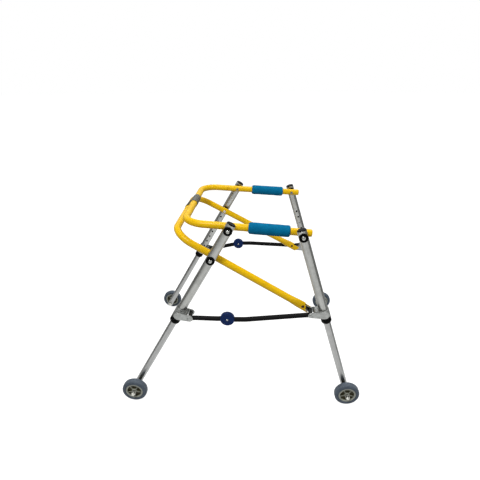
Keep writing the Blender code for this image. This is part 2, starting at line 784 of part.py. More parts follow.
def build_hub(leg, look, body):
    """Rim ring, thin web, centre boss and ribs on both faces."""
    half = HUB_WIDTH / 2
    rim = TYRE_INNER_RADIUS - GAP
    bore = AXLE_RADIUS + GAP
    web = HUB_WEB / 2
    profile = [(bore, -half), (HUB_BOSS_RADIUS, -half), (HUB_BOSS_RADIUS, -web),
               (HUB_RIM_RADIUS, -web), (HUB_RIM_RADIUS, -half), (rim, -half),
               (rim, half), (HUB_RIM_RADIUS, half), (HUB_RIM_RADIUS, web),
               (HUB_BOSS_RADIUS, web), (HUB_BOSS_RADIUS, half), (bore, half)]
    obj = lathe("hub", profile, WHEEL_SIDES, Y_AXIS, closed=True)
    inner = (HUB_BOSS_RADIUS + bore) / 2
    outer = (HUB_RIM_RADIUS + rim) / 2
    for index in range(HUB_RIBS):
        rib = block("rib", (inner, -HUB_RIB_HEIGHT / 2, -HUB_RIB_WIDTH / 2),
                    (outer, HUB_RIB_HEIGHT / 2, HUB_RIB_WIDTH / 2))
        turn = HUB_RIB_TURN + 2 * math.pi * index / HUB_RIBS
        fuse(obj, transform(rib, Matrix.Rotation(turn, 4, "Y")))
    return finish(obj, leg.name + "_hub", look, body)


def build_handrail(legs, look, body):
    """Bent tube with a bolt hole through it at each leg pivot."""
    corners = []
    for side, x in ((-1, RAIL_FRONT_X), (-1, RAIL_REAR_X), (1, RAIL_REAR_X), (1, RAIL_FRONT_X)):
        corners.append(Vector((x, side * rail_half_width(x), rail_z(x))))
    route = rounded_route(corners, RAIL_BEND_RADIUS, BEND_STEPS)
    up = Vector((-RAIL_SLOPE, 0, 1)).normalized()
    section = [(TUBE_RADIUS, TUBE_RADIUS)] * len(route)
    obj = tube("rail", route, up, section, TUBE_WALL, TUBE_SIDES)
    for leg in legs:
        reach = leg.rail_gap
        cut(obj, drill(BOLT_RADIUS + GAP, -reach - TUBE_RADIUS * 2, -reach + TUBE_RADIUS * 2,
                       Y_AXIS * leg.side, leg.pivot))
    for side in SIDES.values():
        fuse(obj, end_plug(side))
    return finish(obj, "handrail_frame", look, body)


def rail_direction(side):
    return Vector((1, side * RAIL_FLARE, RAIL_SLOPE)).normalized()


def end_plug(side):
    """Closed end of the handrail, set in the tube's wall."""
    radius = TUBE_RADIUS - TUBE_WALL / 2
    profile = [(0, -END_PLUG_STEM), (radius, -END_PLUG_STEM), (radius, END_PLUG_RIM),
               (END_PLUG_FLAT_RADIUS, END_PLUG_CROWN), (0, END_PLUG_CROWN)]
    tip = (RAIL_FRONT_X, side * rail_half_width(RAIL_FRONT_X), rail_z(RAIL_FRONT_X))
    return lathe("plug", profile, TUBE_SIDES, rail_direction(side), tip)


def build_grip(side_name, look, body):
    side = SIDES[side_name]
    bore = TUBE_RADIUS + GAP
    flat = GRIP_RADIUS - GRIP_CHAMFER
    profile = [(bore, 0), (flat, 0), (GRIP_RADIUS, GRIP_CHAMFER),
               (GRIP_RADIUS, GRIP_LENGTH - GRIP_CHAMFER), (flat, GRIP_LENGTH),
               (bore, GRIP_LENGTH)]
    start = (GRIP_REAR_X, side * rail_half_width(GRIP_REAR_X), rail_z(GRIP_REAR_X))
    obj = lathe("grip", profile, TUBE_SIDES, rail_direction(side), start, closed=True)
    return finish(obj, "grip_" + side_name, look, body)


def lower_point(x, side):
    return Vector((x, side * lower_half_width(x), lower_z(x)))


def lower_frame_matrix(side):
    """Frame at a lower arm's pin: +X towards the flat end, +Z up, +Y to the left."""
    along = lower_direction(side)
    left = (Y_AXIS - along * along.y).normalized()
    turn = Matrix((along, left, along.cross(left))).transposed()
    return Matrix.Translation(lower_point(LOWER_PIN_X, side)) @ turn.to_4x4()


def build_lower_frame(legs, look, body):
    """Bent tube with flattened ends, cut slanting and open outboard for the bracket tongue."""
    corners = []
    for side, x in ((-1, 0), (-1, LOWER_REAR_X), (1, LOWER_REAR_X), (1, 0)):
        corners.append(lower_point(x, side))
    route = rounded_route(corners, LOWER_BEND_RADIUS, BEND_STEPS)[1:-1]
    section = [(TUBE_RADIUS, TUBE_RADIUS)] * len(route)
    for distance, share in FLATTENING:
        half_height = TUBE_RADIUS + (FLAT_HALF_HEIGHT - TUBE_RADIUS) * share
        half_width = TUBE_RADIUS + (FLAT_HALF_WIDTH - TUBE_RADIUS) * share
        near, far = (lower_point(LOWER_PIN_X, side) + lower_direction(side) * distance
                     for side in (-1, 1))
        route = [near] + route + [far]
        section = [(half_height, half_width)] + section + [(half_height, half_width)]
    up = Vector((-LOWER_SLOPE, 0, 1)).normalized()
    obj = tube("lower", route, up, section, TUBE_WALL, TUBE_SIDES)
    tall = FLAT_HALF_HEIGHT * 2
    slant = [(SLANT_FOOT, -tall), (SLANT_HEAD, tall), (FLAT_TAIL * 2, tall),
             (FLAT_TAIL * 2, -tall)]
    for side in (-1, 1):
        outline = [(MOUTH_TOP, tall), (MOUTH_TOP, MOUTH_SHOULDER),
                   (MOUTH_MIDDLE, MOUTH_WAIST), (MOUTH_FLOOR, -MOUTH_DROP),
                   (FLAT_TAIL * 2, -MOUTH_DROP), (FLAT_TAIL * 2, tall)]
        inner_wall = -(FLAT_HALF_WIDTH - TUBE_WALL)
        ends = sorted((side * inner_wall, side * FLAT_HALF_WIDTH * 2))
        cut(obj, transform(plate("slant", slant, -tall, tall), lower_frame_matrix(side)))
        cut(obj, transform(plate("mouth", outline, *ends), lower_frame_matrix(side)))
    for leg in legs:
        fuse(obj, lower_rivet(leg))
    return finish(obj, "lower_frame", look, body)


def lower_rivet(leg):
    """Pin in a flat end, or the arm's half of a lower pivot."""
    if leg.rear:
        centre = leg.world((0, 0, -LOWER_BOLT_STATION))
        centre.y = leg.side * lower_half_width(centre.x)
        face = GAP - TUBE_RADIUS
        profile = nut_profile(face) + [(BOLT_RADIUS, face), (BOLT_RADIUS, TUBE_RADIUS),
                                       (0, TUBE_RADIUS)]
    else:
        centre = lower_point(LOWER_PIN_X, leg.side)
        seat = FLAT_HALF_WIDTH - GAP
        top = seat + PIN_HEAD_HEIGHT
        head = [(0, top), (PIN_HEAD_TOP_RADIUS, top), (PIN_HEAD_RADIUS, seat), (PIN_RADIUS, seat)]
        profile = [(radius, -height) for radius, height in head] + head[::-1]
    return lathe("rivet", profile, BOLT_SIDES, Y_AXIS * leg.side, centre)


def build_clip(look, body):
    """Collar round the handrail's cross tube with a narrower hook over the lower one."""
    hook = Vector((LOWER_REAR_X, 0, LOWER_REAR_Z))
    ring = Vector((RAIL_REAR_X, 0, rail_z(RAIL_REAR_X)))
    reach = hook - ring
    turn = math.atan2(-reach.x, -reach.z)
    span = reach.length
    outer = TUBE_RADIUS + CLIP_WALL
    low = CLIP_Y - CLIP_WIDTH / 2
    high = CLIP_Y + CLIP_WIDTH / 2
    obj = plate("clip", stadium((0, 0), (0, -span), outer, outer), low, high)
    arm_side = CLIP_ARM - outer
    open_side = outer * 2
    ring_foot = -outer - SLOT_GAP
    mouth = [(arm_side, ring_foot), (open_side, ring_foot), (open_side, -span * 2),
             (0, -span * 2), (0, outer - span), (arm_side, outer - span)]
    cut(obj, plate("mouth", mouth, low - GAP, high + GAP))
    cut(obj, block("beside_hook", (-open_side, low - GAP, -span * 2),
                   (open_side, high - CLIP_HOOK_WIDTH, ring_foot)))
    cut(obj, rod("bore", TUBE_RADIUS + GAP, low - GAP, high + GAP, Y_AXIS, sides=LEG_SIDES))
    seat = TUBE_RADIUS + SLOT_GAP
    cut(obj, rod("seat", seat, low - GAP, high + GAP, Y_AXIS, (0, 0, -span), LEG_SIDES))
    turned = Matrix.Rotation(turn, 4, "Y")
    return finish(transform(obj, turned), "fold_clip", look, body)


def strut_frame(start, end):
    """Frame with +X from one strut pivot to the next, in the side plane."""
    along = Vector((end.x - start.x, 0, end.z - start.z)).normalized()
    turn = Matrix((along, Y_AXIS, along.cross(Y_AXIS))).transposed()
    return Matrix.Translation(Vector((start.x, 0, start.z))) @ turn.to_4x4()


def build_strut(leg, inner_half, look, disc_look, body, disc):
    """Cranked flat bar with its half of the disc hinge, in the strut's own frame."""
    end_name = "rear" if leg.rear else "front"
    side_name = "left" if leg.side > 0 else "right"
    start = leg.world(leg.strut_pivot())
    length = Vector((disc.x - start.x, 0, disc.z - start.z)).length
    half = DISC_HALF_THICKNESS
    shift = -(GAP + half / 2) if inner_half else GAP + half / 2
    level = DISC_Y + shift
    top = STRUT_HEIGHT / 2
    straight = INNER_STRUT_STRAIGHT if inner_half else OUTER_STRUT_STRAIGHT
    centres = [(-top * share, leg.side * STRUT_WIDTH_Y) for share in STRUT_END_ROUNDING]
    heights = [top * math.sqrt(1 - share ** 2) for share in STRUT_END_ROUNDING]
    for x, y in ((0, STRUT_WIDTH_Y), (STRUT_TAB, STRUT_WIDTH_Y),
                 (length - straight, level), (length - DISC_TAB, level)):
        centres.append((x, leg.side * y))
        heights.append(top)
    bar = ribbon("bar", centres, heights, STRUT_THICKNESS)
    ends = sorted((leg.side * (STRUT_WIDTH_Y - top), leg.side * (STRUT_WIDTH_Y + top)))
    cut(bar, drill(STRUT_BOLT_RADIUS + GAP, *ends, Y_AXIS, (0, 0, 0)))
    finish(bar, side_name + "_" + end_name + "_strut", look, body)
    face = -1 if inner_half else 1
    profile = [(0, -half / 2), (DISC_RADIUS, -half / 2), (DISC_RADIUS, half / 2 - DISC_CHAMFER),
               (DISC_RADIUS - DISC_CHAMFER, half / 2), (RIVET_RADIUS, half / 2),
               (RIVET_TOP_RADIUS, half / 2 + RIVET_SHOULDER), (0, half / 2 + RIVET_HEIGHT)]
    centre = (length, leg.side * level, 0)
    plate_half = lathe("disc", profile, WHEEL_SIDES, Y_AXIS * face * leg.side, centre)
    gap = STRUT_THICKNESS / 2 + GAP
    slot_ends = sorted((leg.side * (level - gap), leg.side * (level + gap)))
    slot = block("slot", (length - DISC_RADIUS * 2, slot_ends[0], -top - GAP),
                 (length - DISC_TAB + GAP, slot_ends[1], top + GAP))
    cut(plate_half, slot)
    finish(plate_half, side_name + "_" + end_name + "_hinge_disc", disc_look, body)


def build_leg(leg, looks):
    body = pivot_empty(leg.name + "_leg", leg.matrix)
    build_leg_tube(leg, looks["aluminium"], body)
    build_top_cap(leg, looks["black_plastic"], body)
    build_bracket(leg, looks["cast_aluminium"], body)
    build_collar(leg, looks["black_plastic"], body)
    build_bush(leg, looks["black_plastic"], body)
    build_upper_bolt(leg, looks["chrome"], body)
    if leg.rear:
        build_lower_bolt(leg, looks["black_plastic"], body)
    slider = pivot_empty(leg.name + "_extension", leg.matrix, body)
    build_inner_tube(leg, looks["aluminium"], slider)
    build_axle_bolt(leg, looks["chrome"], slider)
    button = pivot_empty(leg.name + "_button", leg.matrix, slider)
    build_snap_button(leg, looks["chrome"], button)
    centre = Vector((leg.axle.x, leg.side * leg.wheel_y, leg.axle.z))
    wheel = pivot_empty(leg.name + "_wheel", Matrix.Translation(centre), slider)
    build_tyre(leg, looks["tyre"], wheel)
    build_hub(leg, looks["hub_plastic"], wheel)
    return body


def main():
    clear_scene()
    looks = {
        "yellow_paint": material("yellow_paint", (0.87, 0.47, 0.006), 0.3),
        "aluminium": material("aluminium", (0.42, 0.43, 0.41), 0.35, 0.9),
        "cast_aluminium": material("cast_aluminium", (0.36, 0.37, 0.35), 0.5, 0.8),
        "chrome": material("chrome", (0.75, 0.75, 0.74), 0.12, 1.0),
        "black_plastic": material("black_plastic", (0.012, 0.012, 0.013), 0.4),
        "black_steel": material("black_steel", (0.01, 0.01, 0.012), 0.45, 0.3),
        "blue_foam": material("blue_foam", (0.0, 0.15, 0.31), 0.85),
        "blue_plastic": material("blue_plastic", (0.008, 0.02, 0.14), 0.35),
        "grey_plastic": material("grey_plastic", (0.15, 0.15, 0.16), 0.5),
        "tyre": material("tyre", (0.09, 0.11, 0.14), 0.65),
        "hub_plastic": material("hub_plastic", (0.25, 0.26, 0.22), 0.5),
    }
    legs = [Leg(end, side) for end in ("rear", "front") for side in SIDES]
    root = pivot_empty("upper_frame", Matrix.Identity(4))
    build_handrail(legs, looks["yellow_paint"], root)
    for side_name in SIDES:
        build_grip(side_name, looks["blue_foam"], root)
    leg_bodies = {leg.name: build_leg(leg, looks) for leg in legs}
    lower = pivot_empty("lower_body", Matrix.Identity(4), leg_bodies["front_right"])
    build_lower_frame(legs, looks["yellow_paint"], lower)
    ring = Matrix.Translation((RAIL_REAR_X, 0, rail_z(RAIL_REAR_X)))
    build_clip(looks["grey_plastic"], pivot_empty("clip_body", ring, root))
    disc = Vector((DISC_X, 0, DISC_Z))
    for leg in legs:
        start = leg.world(leg.strut_pivot())
        matrix = strut_frame(start, disc)
        body = pivot_empty(leg.name + "_strut_body", matrix, leg_bodies[leg.name])
        build_strut(leg, leg.rear, looks["black_steel"], looks["blue_plastic"], body, disc)


main()
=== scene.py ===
"""Looks of a posterior walker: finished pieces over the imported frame, floor, light and camera.

Metres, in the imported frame: +Z up, +X towards the open front, +Y to the user's left. Pieces of
a leg are modelled in that leg's own frame, with the origin on its upper pivot and +Z up along it.
"""
import json
from math import atan2, cos, pi, radians, sin, sqrt, tan

import bmesh
import bpy
from mathutils import Matrix, Vector

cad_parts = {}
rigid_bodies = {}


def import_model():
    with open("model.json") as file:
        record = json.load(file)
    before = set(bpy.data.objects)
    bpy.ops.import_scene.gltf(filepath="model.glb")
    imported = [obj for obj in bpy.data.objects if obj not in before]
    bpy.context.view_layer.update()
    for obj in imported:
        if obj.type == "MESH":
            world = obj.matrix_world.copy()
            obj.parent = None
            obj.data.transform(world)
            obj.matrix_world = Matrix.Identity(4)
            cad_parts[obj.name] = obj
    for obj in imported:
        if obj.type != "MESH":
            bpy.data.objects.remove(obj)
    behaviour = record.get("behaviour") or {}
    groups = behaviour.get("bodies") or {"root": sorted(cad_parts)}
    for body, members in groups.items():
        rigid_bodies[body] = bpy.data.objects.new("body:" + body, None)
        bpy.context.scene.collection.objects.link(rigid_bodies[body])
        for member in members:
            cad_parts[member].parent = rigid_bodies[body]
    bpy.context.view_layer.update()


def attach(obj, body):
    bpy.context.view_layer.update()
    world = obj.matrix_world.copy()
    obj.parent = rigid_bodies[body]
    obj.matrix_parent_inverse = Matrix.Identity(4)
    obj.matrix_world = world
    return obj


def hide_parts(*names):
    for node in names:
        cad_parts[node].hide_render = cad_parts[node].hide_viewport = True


for leftover in list(bpy.data.objects):
    bpy.data.objects.remove(leftover)
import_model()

# Frame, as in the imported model
WHEELBASE = 0.7108
RAIL_HEIGHT = 0.601
REAR_PIVOT_X = -0.0273
FRONT_PIVOT_X = 0.1832
TUBE_RADIUS = 0.011
TUBE_WALL = 0.0015

# Handrail and grips
RAIL_REAR_X = -0.160
RAIL_FRONT_X = 0.2093
RAIL_SLOPE = -0.0684
RAIL_REAR_HALF_WIDTH = 0.2013
RAIL_FLARE = 0.032
RAIL_BEND_RADIUS = 0.060
GRIP_REAR_X = 0.029
GRIP_LENGTH = 0.1205
GRIP_RADIUS = 0.0175
GRIP_ROLL = 0.0062

# Lower frame; FLATTENING is how far its ends are pressed at distances from the pin, MOUTH and
# SLANT are what is cut out of the pressed ends, as (x, z) from the pin
LOWER_REAR_X = -0.192
LOWER_REAR_Z = RAIL_HEIGHT - 0.0268
LOWER_SLOPE = -0.579
LOWER_REAR_HALF_WIDTH = RAIL_REAR_HALF_WIDTH - 0.0028
LOWER_FLARE = 0.081
LOWER_BEND_RADIUS = 0.067
LOWER_PIN_X = 0.197
FLAT_TAIL = 0.036
FLAT_HALF_HEIGHT = 0.014
FLAT_HALF_WIDTH = 0.006
FLATTENING = ((-0.058, 0.0), (-0.050, 0.03), (-0.043, 0.14), (-0.036, 0.36), (-0.029, 0.62),
              (-0.022, 0.85), (-0.016, 0.97), (-0.010, 1.0), (0.0, 1.0), (FLAT_TAIL, 1.0))
MOUTH = ((0.003, 0.03), (0.003, 0.0098), (0.009, 0.0025), (0.012, -0.004), (0.017, -0.0104),
         (0.07, -0.0104), (0.07, 0.03))
SLANT = ((0.0191, -0.028), (0.0393, 0.028), (0.07, 0.028), (0.07, -0.028))

# Legs; stations are distances down the leg from its upper pivot
LEG_RADIUS = 0.014
INNER_RADIUS = 0.011
LEG_WALL = 0.0015
LEG_TOP = 0.018
LEG_END_TAIL = 0.012
LIP = 0.0004
SPACER = {"rear": 0.0018, "front": 0.0037}
SPLAY = {"rear": 0.0300, "front": 0.0258}
SLEEVE = {"rear": (0.2985, 0.3355), "front": (0.247, 0.275)}
BUTTON_STATION = {"rear": 0.1924, "front": 0.140}
STRUT_STATION = {"rear": 0.3077, "front": 0.250}
STRUT_OFFSET = {"rear": 0.0344, "front": -0.041}
BOSS_RADIUS = {"rear": 0.0105, "front": 0.0085}
CHEEK = 0.004
CHEEK_GAP = 0.0003
INNER_FACE = {"rear": 0.014, "front": 0.019}
AXLE_SPACER = {"rear": 0.0144, "front": 0.0085}
LOWER_BOLT_STATION = 0.1055
HOLE_PITCH = 0.0254
HOLES = range(-2, 5)
HOLE_RADIUS = 0.0034
NUT_RADIUS = 0.0055
AXLE_NUT_RADIUS = 0.0072
AXLE_NUT_HEIGHT = 0.0065

# Struts, discs and wheels
STRUT_Y = RAIL_REAR_HALF_WIDTH + 0.0602
STRUT_HEIGHT = 0.016
STRUT_THICKNESS = 0.003
DISC_X = -0.0335
DISC_Z = RAIL_HEIGHT - 0.2675
DISC_Y = STRUT_Y + 0.0205
DISC_RADIUS = 0.0215
DISC_HALF = 0.0068
STRAIGHT = {"rear": 0.026, "front": 0.055}
WHEEL_RADIUS = 0.041
WHEEL_WIDTH = 0.023
HUB_WIDTH = 0.0205
GAP = 0.0003

# Camera, worked out from the photograph: degrees, pixels and metres
CAMERA_PLACE = (0.063571, -1.174063, 0.972608)
CAMERA_AZIMUTH = 1.728
CAMERA_ELEVATION = 25.882
CAMERA_ROLL = 0.230
FOCAL_PIXELS = 359.484
CENTRE_PIXELS = (250.431, 257.273)
PICTURE = 480
SENSOR = 36.0

ROUND = 48
FINE_ROUND = 64
SMALL_ROUND = 28
HOLE_ROUND = 24
SAME = 1e-7
MILLIMETRES = 1000
FLOOR_RADIUS = 40.0
ORIGIN = (0, 0, 0)
Y_AXIS = Vector((0, 1, 0))
Z_AXIS = Vector((0, 0, 1))
SIDES = {"left": 1, "right": -1}
WHITE = (1, 1, 1, 1)
CARD_FELT = "#727270"
PALE_CARD_FELT = "#BEBEBC"


# Materials

def linear(hex_colour):
    """Linear RGBA of an sRGB hex colour."""
    values = [int(hex_colour[start:start + 2], 16) / 255 for start in (1, 3, 5)]
    return (*[value / 12.92 if value <= 0.04045 else ((value + 0.055) / 1.055) ** 2.4
              for value in values], 1.0)


def fresh_tree(block):
    """Emptied node tree of a new material or world."""
    block.use_nodes = True
    block.node_tree.nodes.clear()
    return block.node_tree


def add(tree, kind, settings=None, links=None, **properties):
    """Add one node with its properties, socket values and incoming links."""
    node = tree.nodes.new("ShaderNode" + kind)
    for name, value in properties.items():
        setattr(node, name, value)
    for socket, value in (settings or {}).items():
        node.inputs[socket].default_value = value
    for socket, source in (links or {}).items():
        tree.links.new(source, node.inputs[socket])
    return node


class Finish:
    """A material under construction: a Principled shader and the patterns that feed it."""

    def __init__(self, name, **settings):
        self.material = bpy.data.materials.new(name)
        self.tree = fresh_tree(self.material)
        values = {key.replace("_", " ").title().replace("Ior", "IOR"): value
                  for key, value in settings.items()}
        self.shader = add(self.tree, "BsdfPrincipled", values)
        add(self.tree, "OutputMaterial", links={"Surface": self.shader.outputs["BSDF"]})
        self.place = add(self.tree, "TexCoord").outputs["Object"]

    def stretched(self, across, along):
        """Coordinates whose pattern is drawn out along Z, in millimetres each way."""
        scale = (MILLIMETRES / across, MILLIMETRES / across, MILLIMETRES / along)
        node = add(self.tree, "Mapping", {"Scale": scale}, {"Vector": self.place})
        return node.outputs["Vector"]

    def noise(self, size, detail=3.0, roughness=0.5, vector=None):
        """Cloudy pattern with features of a size in millimetres."""
        scale = 1.0 if vector else MILLIMETRES / size
        node = add(self.tree, "TexNoise",
                   {"Scale": scale, "Detail": detail, "Roughness": roughness},
                   {"Vector": vector or self.place})
        return node.outputs[0]

    def ranged(self, source, low, high, start=0.0, end=1.0):
        """Remap a value that lies between low and high to start and end, held at both."""
        node = add(self.tree, "MapRange", {"From Min": low, "From Max": high,
                                           "To Min": start, "To Max": end}, {"Value": source})
        return node.outputs["Result"]

    def times(self, first, second):
        node = add(self.tree, "Math", links={0: first, 1: second}, operation="MULTIPLY")
        return node.outputs[0]

    def mixed(self, mask, first, second):
        """Blend from one colour to the next; each is a hex value or a socket."""
        node = add(self.tree, "Mix", links={0: mask}, data_type="RGBA")
        for socket, colour in ((6, first), (7, second)):
            if isinstance(colour, str):
                node.inputs[socket].default_value = linear(colour)
            else:
                self.tree.links.new(colour, node.inputs[socket])
        return node.outputs[2]

    def finished(self, colour, roughness, *bumps):
        """Feed the shader; each bump is a height pattern and its depth in millimetres."""
        normal = None
        for height, depth in bumps:
            settings = {"Distance": depth / MILLIMETRES, "Strength": 1.0}
            links = {"Height": height, **({"Normal": normal} if normal else {})}
            normal = add(self.tree, "Bump", settings, links).outputs["Normal"]
        for socket, source in (("Base Color", colour), ("Roughness", roughness),
                               ("Normal", normal)):
            self.tree.links.new(source, self.shader.inputs[socket])
        return self.material


def two_tone(name, tones, gloss, *relief, **settings):
    """Finish whose tones, gloss and relief come from noise.

    Noise is (size in millimetres, detail, roughness). Tones are a noise, its low and high end
    and the colours there; gloss is the same with the roughness at both ends; relief is any
    number of noises with their depths in millimetres.
    """
    finish = Finish(name, **settings)
    clouds, low, high, first, second = tones
    grain, *limits = gloss
    return finish.finished(
        finish.mixed(finish.ranged(finish.noise(*clouds), low, high), first, second),
        finish.ranged(finish.noise(*grain), *limits),
        *[(finish.noise(*pattern), depth) for pattern, depth in relief])


def yellow_powder_coat():
    """Gloss powder coat on steel tube: even and warm, with a faint orange peel in highlights."""
    finish = Finish("yellow_powder_coat", ior=1.5, specular_ior_level=0.15, coat_weight=0.06,
                    coat_roughness=0.12)
    shade = finish.ranged(finish.noise(70, 2), 0.35, 0.65)
    scuffs = finish.ranged(finish.noise(30, 2, 0.5), 0.6, 0.75)
    fresh = finish.mixed(shade, "#E6B703", "#EDBE06")
    return finish.finished(finish.mixed(finish.times(scuffs, shade), fresh, "#CB9B08"),
                           finish.ranged(finish.noise(40, 2), 0.3, 0.7, 0.3, 0.38),
                           (finish.noise(4, 1), 0.002))


def drawn_aluminium(name, base, worn):
    """Anodised drawn tube: lines and dull bands along the tube, a satin glow, handling marks."""
    finish = Finish(name, metallic=1.0)
    lines = finish.noise(1, 4, 0.6, finish.stretched(0.5, 60))
    bands = finish.ranged(finish.noise(1, 2, 0.5, finish.stretched(9, 500)), 0.4, 0.6)
    marks = finish.ranged(finish.noise(22, 6, 0.6), 0.45, 0.7)
    drawn = finish.mixed(bands, finish.mixed(lines, base, worn), worn)
    return finish.finished(finish.mixed(marks, drawn, worn),
                           finish.ranged(lines, 0.3, 0.7, 0.24, 0.36),
                           (lines, 0.01), (finish.noise(0.9, 2), 0.004))


def blue_foam():
    """Closed-cell EVA foam: soft and matt with open pores, drawn at 1.3 mm so that they show."""
    finish = Finish("blue_eva_foam", ior=1.45, specular_ior_level=0.06, sheen_weight=0.03,
                    sheen_roughness=0.5)
    pores = add(finish.tree, "TexVoronoi", {"Scale": MILLIMETRES / 1.3}, {"Vector": finish.place},
                feature="SMOOTH_F1").outputs["Distance"]
    clouds = finish.ranged(finish.noise(24, 4), 0.3, 0.7)
    skin = finish.mixed(clouds, "#01638C", "#046E98")
    # Pores painted darker blue, as the shade down in them
    return finish.finished(finish.mixed(finish.ranged(pores, 0.0, 0.35), "#004C6E", skin),
                           finish.ranged(pores, 0.0, 0.6, 0.95, 0.78),
                           (finish.noise(9, 3), 0.18), (pores, 0.09))


def grey_polyurethane():
    """Cast polyurethane tyre: blue grey and dull, its tread scuffed paler and a little dusty."""
    finish = Finish("grey_polyurethane", ior=1.5, specular_ior_level=0.3)
    flat = add(finish.tree, "VectorMath", {1: (1, 0, 1)}, {0: finish.place},
               operation="MULTIPLY").outputs[0]
    from_axle = add(finish.tree, "VectorMath", links={0: flat}, operation="LENGTH")
    tread = finish.ranged(from_axle.outputs["Value"], WHEEL_RADIUS - 0.0022, WHEEL_RADIUS - 0.0002)
    scuffs = finish.times(tread, finish.ranged(finish.noise(3.5, 8, 0.75), 0.42, 0.66))
    clouds = finish.ranged(finish.noise(18, 4), 0.3, 0.7)
    body = finish.mixed(clouds, "#454F5A", "#505A66")
    return finish.finished(finish.mixed(scuffs, body, "#68717B"),
                           finish.ranged(finish.noise(5, 5), 0.3, 0.7, 0.52, 0.7),
                           (finish.noise(1.0, 4), 0.03), (scuffs, 0.05))


def hub_nylon():
    """Moulded nylon hub: pale grey-green on its rim, dark brown down in its pockets, partly dust
    and partly painted shade of the recess.
    """
    finish = Finish("hub_nylon", ior=1.53, specular_ior_level=0.3)
    depth = add(finish.tree, "SeparateXYZ", links={"Vector": finish.place}).outputs[1]
    near = add(finish.tree, "Math", links={0: depth}, operation="ABSOLUTE").outputs[0]
    face = finish.ranged(near, HUB_WIDTH / 2 - 0.0050, HUB_WIDTH / 2 - 0.0006)
    dust = finish.ranged(finish.noise(3, 6, 0.7), 0.35, 0.65)
    # Pockets painted dark brown: a dust mottle together with painted shade of the recess
    pocket_dust_and_shade = finish.mixed(dust, "#2C2A17", "#4C482D")
    return finish.finished(finish.mixed(face, pocket_dust_and_shade, "#9DA095"),
                           finish.ranged(dust, 0.0, 1.0, 0.42, 0.6),
                           (finish.noise(1.0, 4), 0.02))


YELLOW = yellow_powder_coat()
LEG_ALUMINIUM = drawn_aluminium("drawn_aluminium", "#B2B3B0", "#8C8D8A")
SLIDE_ALUMINIUM = drawn_aluminium("sliding_aluminium", "#AEAFAE", "#929392")
FOAM = blue_foam()
TYRE_GREY = grey_polyurethane()
HUB_GREY = hub_nylon()
# Die casting: a dull grey skin, slightly grainy, darker where dirt sits in its pores
CASTING = two_tone("cast_aluminium", ((11, 4), 0.35, 0.65, "#8E908E", "#A0A2A0"),
                   ((1.1, 5, 0.6), 0.3, 0.7, 0.42, 0.58),
                   ((1.1, 5, 0.6), 0.05), ((4, 2), 0.06), metallic=1.0)
# Chrome on domed nuts and bolts: mirror-like, with hair scratches
CHROME = two_tone("chrome_plate", ((1.4, 8, 0.75), 0.5, 0.75, "#9C9E9B", "#767875"),
                  ((1.4, 8, 0.75), 0.35, 0.7, 0.07, 0.2), ((1.4, 8, 0.75), 0.003), metallic=1.0)
# Zinc-plated steel of the axles and nuts: pale, soft and slightly cloudy
ZINC = two_tone("zinc_plate", ((2.2, 5, 0.6), 0.35, 0.7, "#D6D6D0", "#ABABA2"),
                ((2.2, 5, 0.6), 0.3, 0.7, 0.22, 0.38), ((2.2, 5, 0.6), 0.006), metallic=1.0)
# Moulded ABS caps, collars and washers: near black, satin, with a fine spark grain
BLACK = two_tone("black_abs", ((6, 7, 0.7), 0.58, 0.72, "#050506", "#0E0F10"),
                 ((0.7, 3), 0.3, 0.7, 0.12, 0.2), ((0.7, 3), 0.003),
                 ior=1.54, specular_ior_level=0.03)
# Black enamelled steel strip: smooth and semi-gloss, with thin rub marks
BLACK_STEEL = two_tone("black_enamelled_steel", ((3, 6, 0.7), 0.55, 0.75, "#060607", "#121214"),
                       ((3, 6, 0.7), 0.3, 0.7, 0.3, 0.45), ((1.5, 3), 0.01),
                       ior=1.5, specular_ior_level=0.08)
# Oiled steel of the strut pins: grey black, satin, with brighter rubbed patches
DARK_STEEL = two_tone("oiled_dark_steel", ((2.4, 5, 0.6), 0.4, 0.7, "#1E1E1D", "#424240"),
                      ((2.4, 5, 0.6), 0.4, 0.7, 0.34, 0.5), ((1.1, 3), 0.008), metallic=1.0)
# Moulded blue ABS of the disc hinges: deep blue, satin gloss
BLUE = two_tone("blue_abs", ((9, 4), 0.3, 0.7, "#051F4E", "#0A2759"),
                ((0.8, 3), 0.3, 0.7, 0.3, 0.42), ((0.8, 3), 0.01),
                ior=1.54, specular_ior_level=0.08)
# Moulded nylon clip: mottled grey and waxy
CLIP_GREY = two_tone("grey_nylon", ((4.5, 6, 0.65), 0.38, 0.62, "#46463F", "#6C6C63"),
                     ((4.5, 6, 0.65), 0.38, 0.62, 0.36, 0.5), ((1.2, 4), 0.03), ior=1.53,
                     specular_ior_level=0.3, subsurface_weight=0.05, subsurface_scale=0.001)
# Steel rivet set through yellow paint: dull and browned by light rust
RIVET = two_tone("rusty_rivet", ((1.5, 6, 0.7), 0.4, 0.6, "#573F2A", "#3A2012"),
                 ((1.5, 6, 0.7), 0.4, 0.6, 0.4, 0.7), ((0.8, 4), 0.03), metallic=0.7)
# Inside of a tube: painted shade, near black and dull
BORE_SHADE = two_tone("bore_painted_shade", ((3, 6, 0.7), 0.35, 0.65, "#0A0907", "#1A150E"),
                ((3, 6, 0.7), 0.35, 0.65, 0.5, 0.75), ((1.2, 4), 0.03),
                ior=1.5, specular_ior_level=0.1)


# Mesh tools: a shell is its rings of points, whether they close on themselves, and the material
# index of its faces, or a list of these with one for each pair of neighbouring rings

def full_turn(count):
    """Evenly spaced angles all the way round."""
    return [2 * pi * index / count for index in range(count)]


def quarter_turn(steps):
    """Evenly spaced angles from 0 to 90 degrees, both included."""
    return [pi / 2 * index / steps for index in range(steps + 1)]


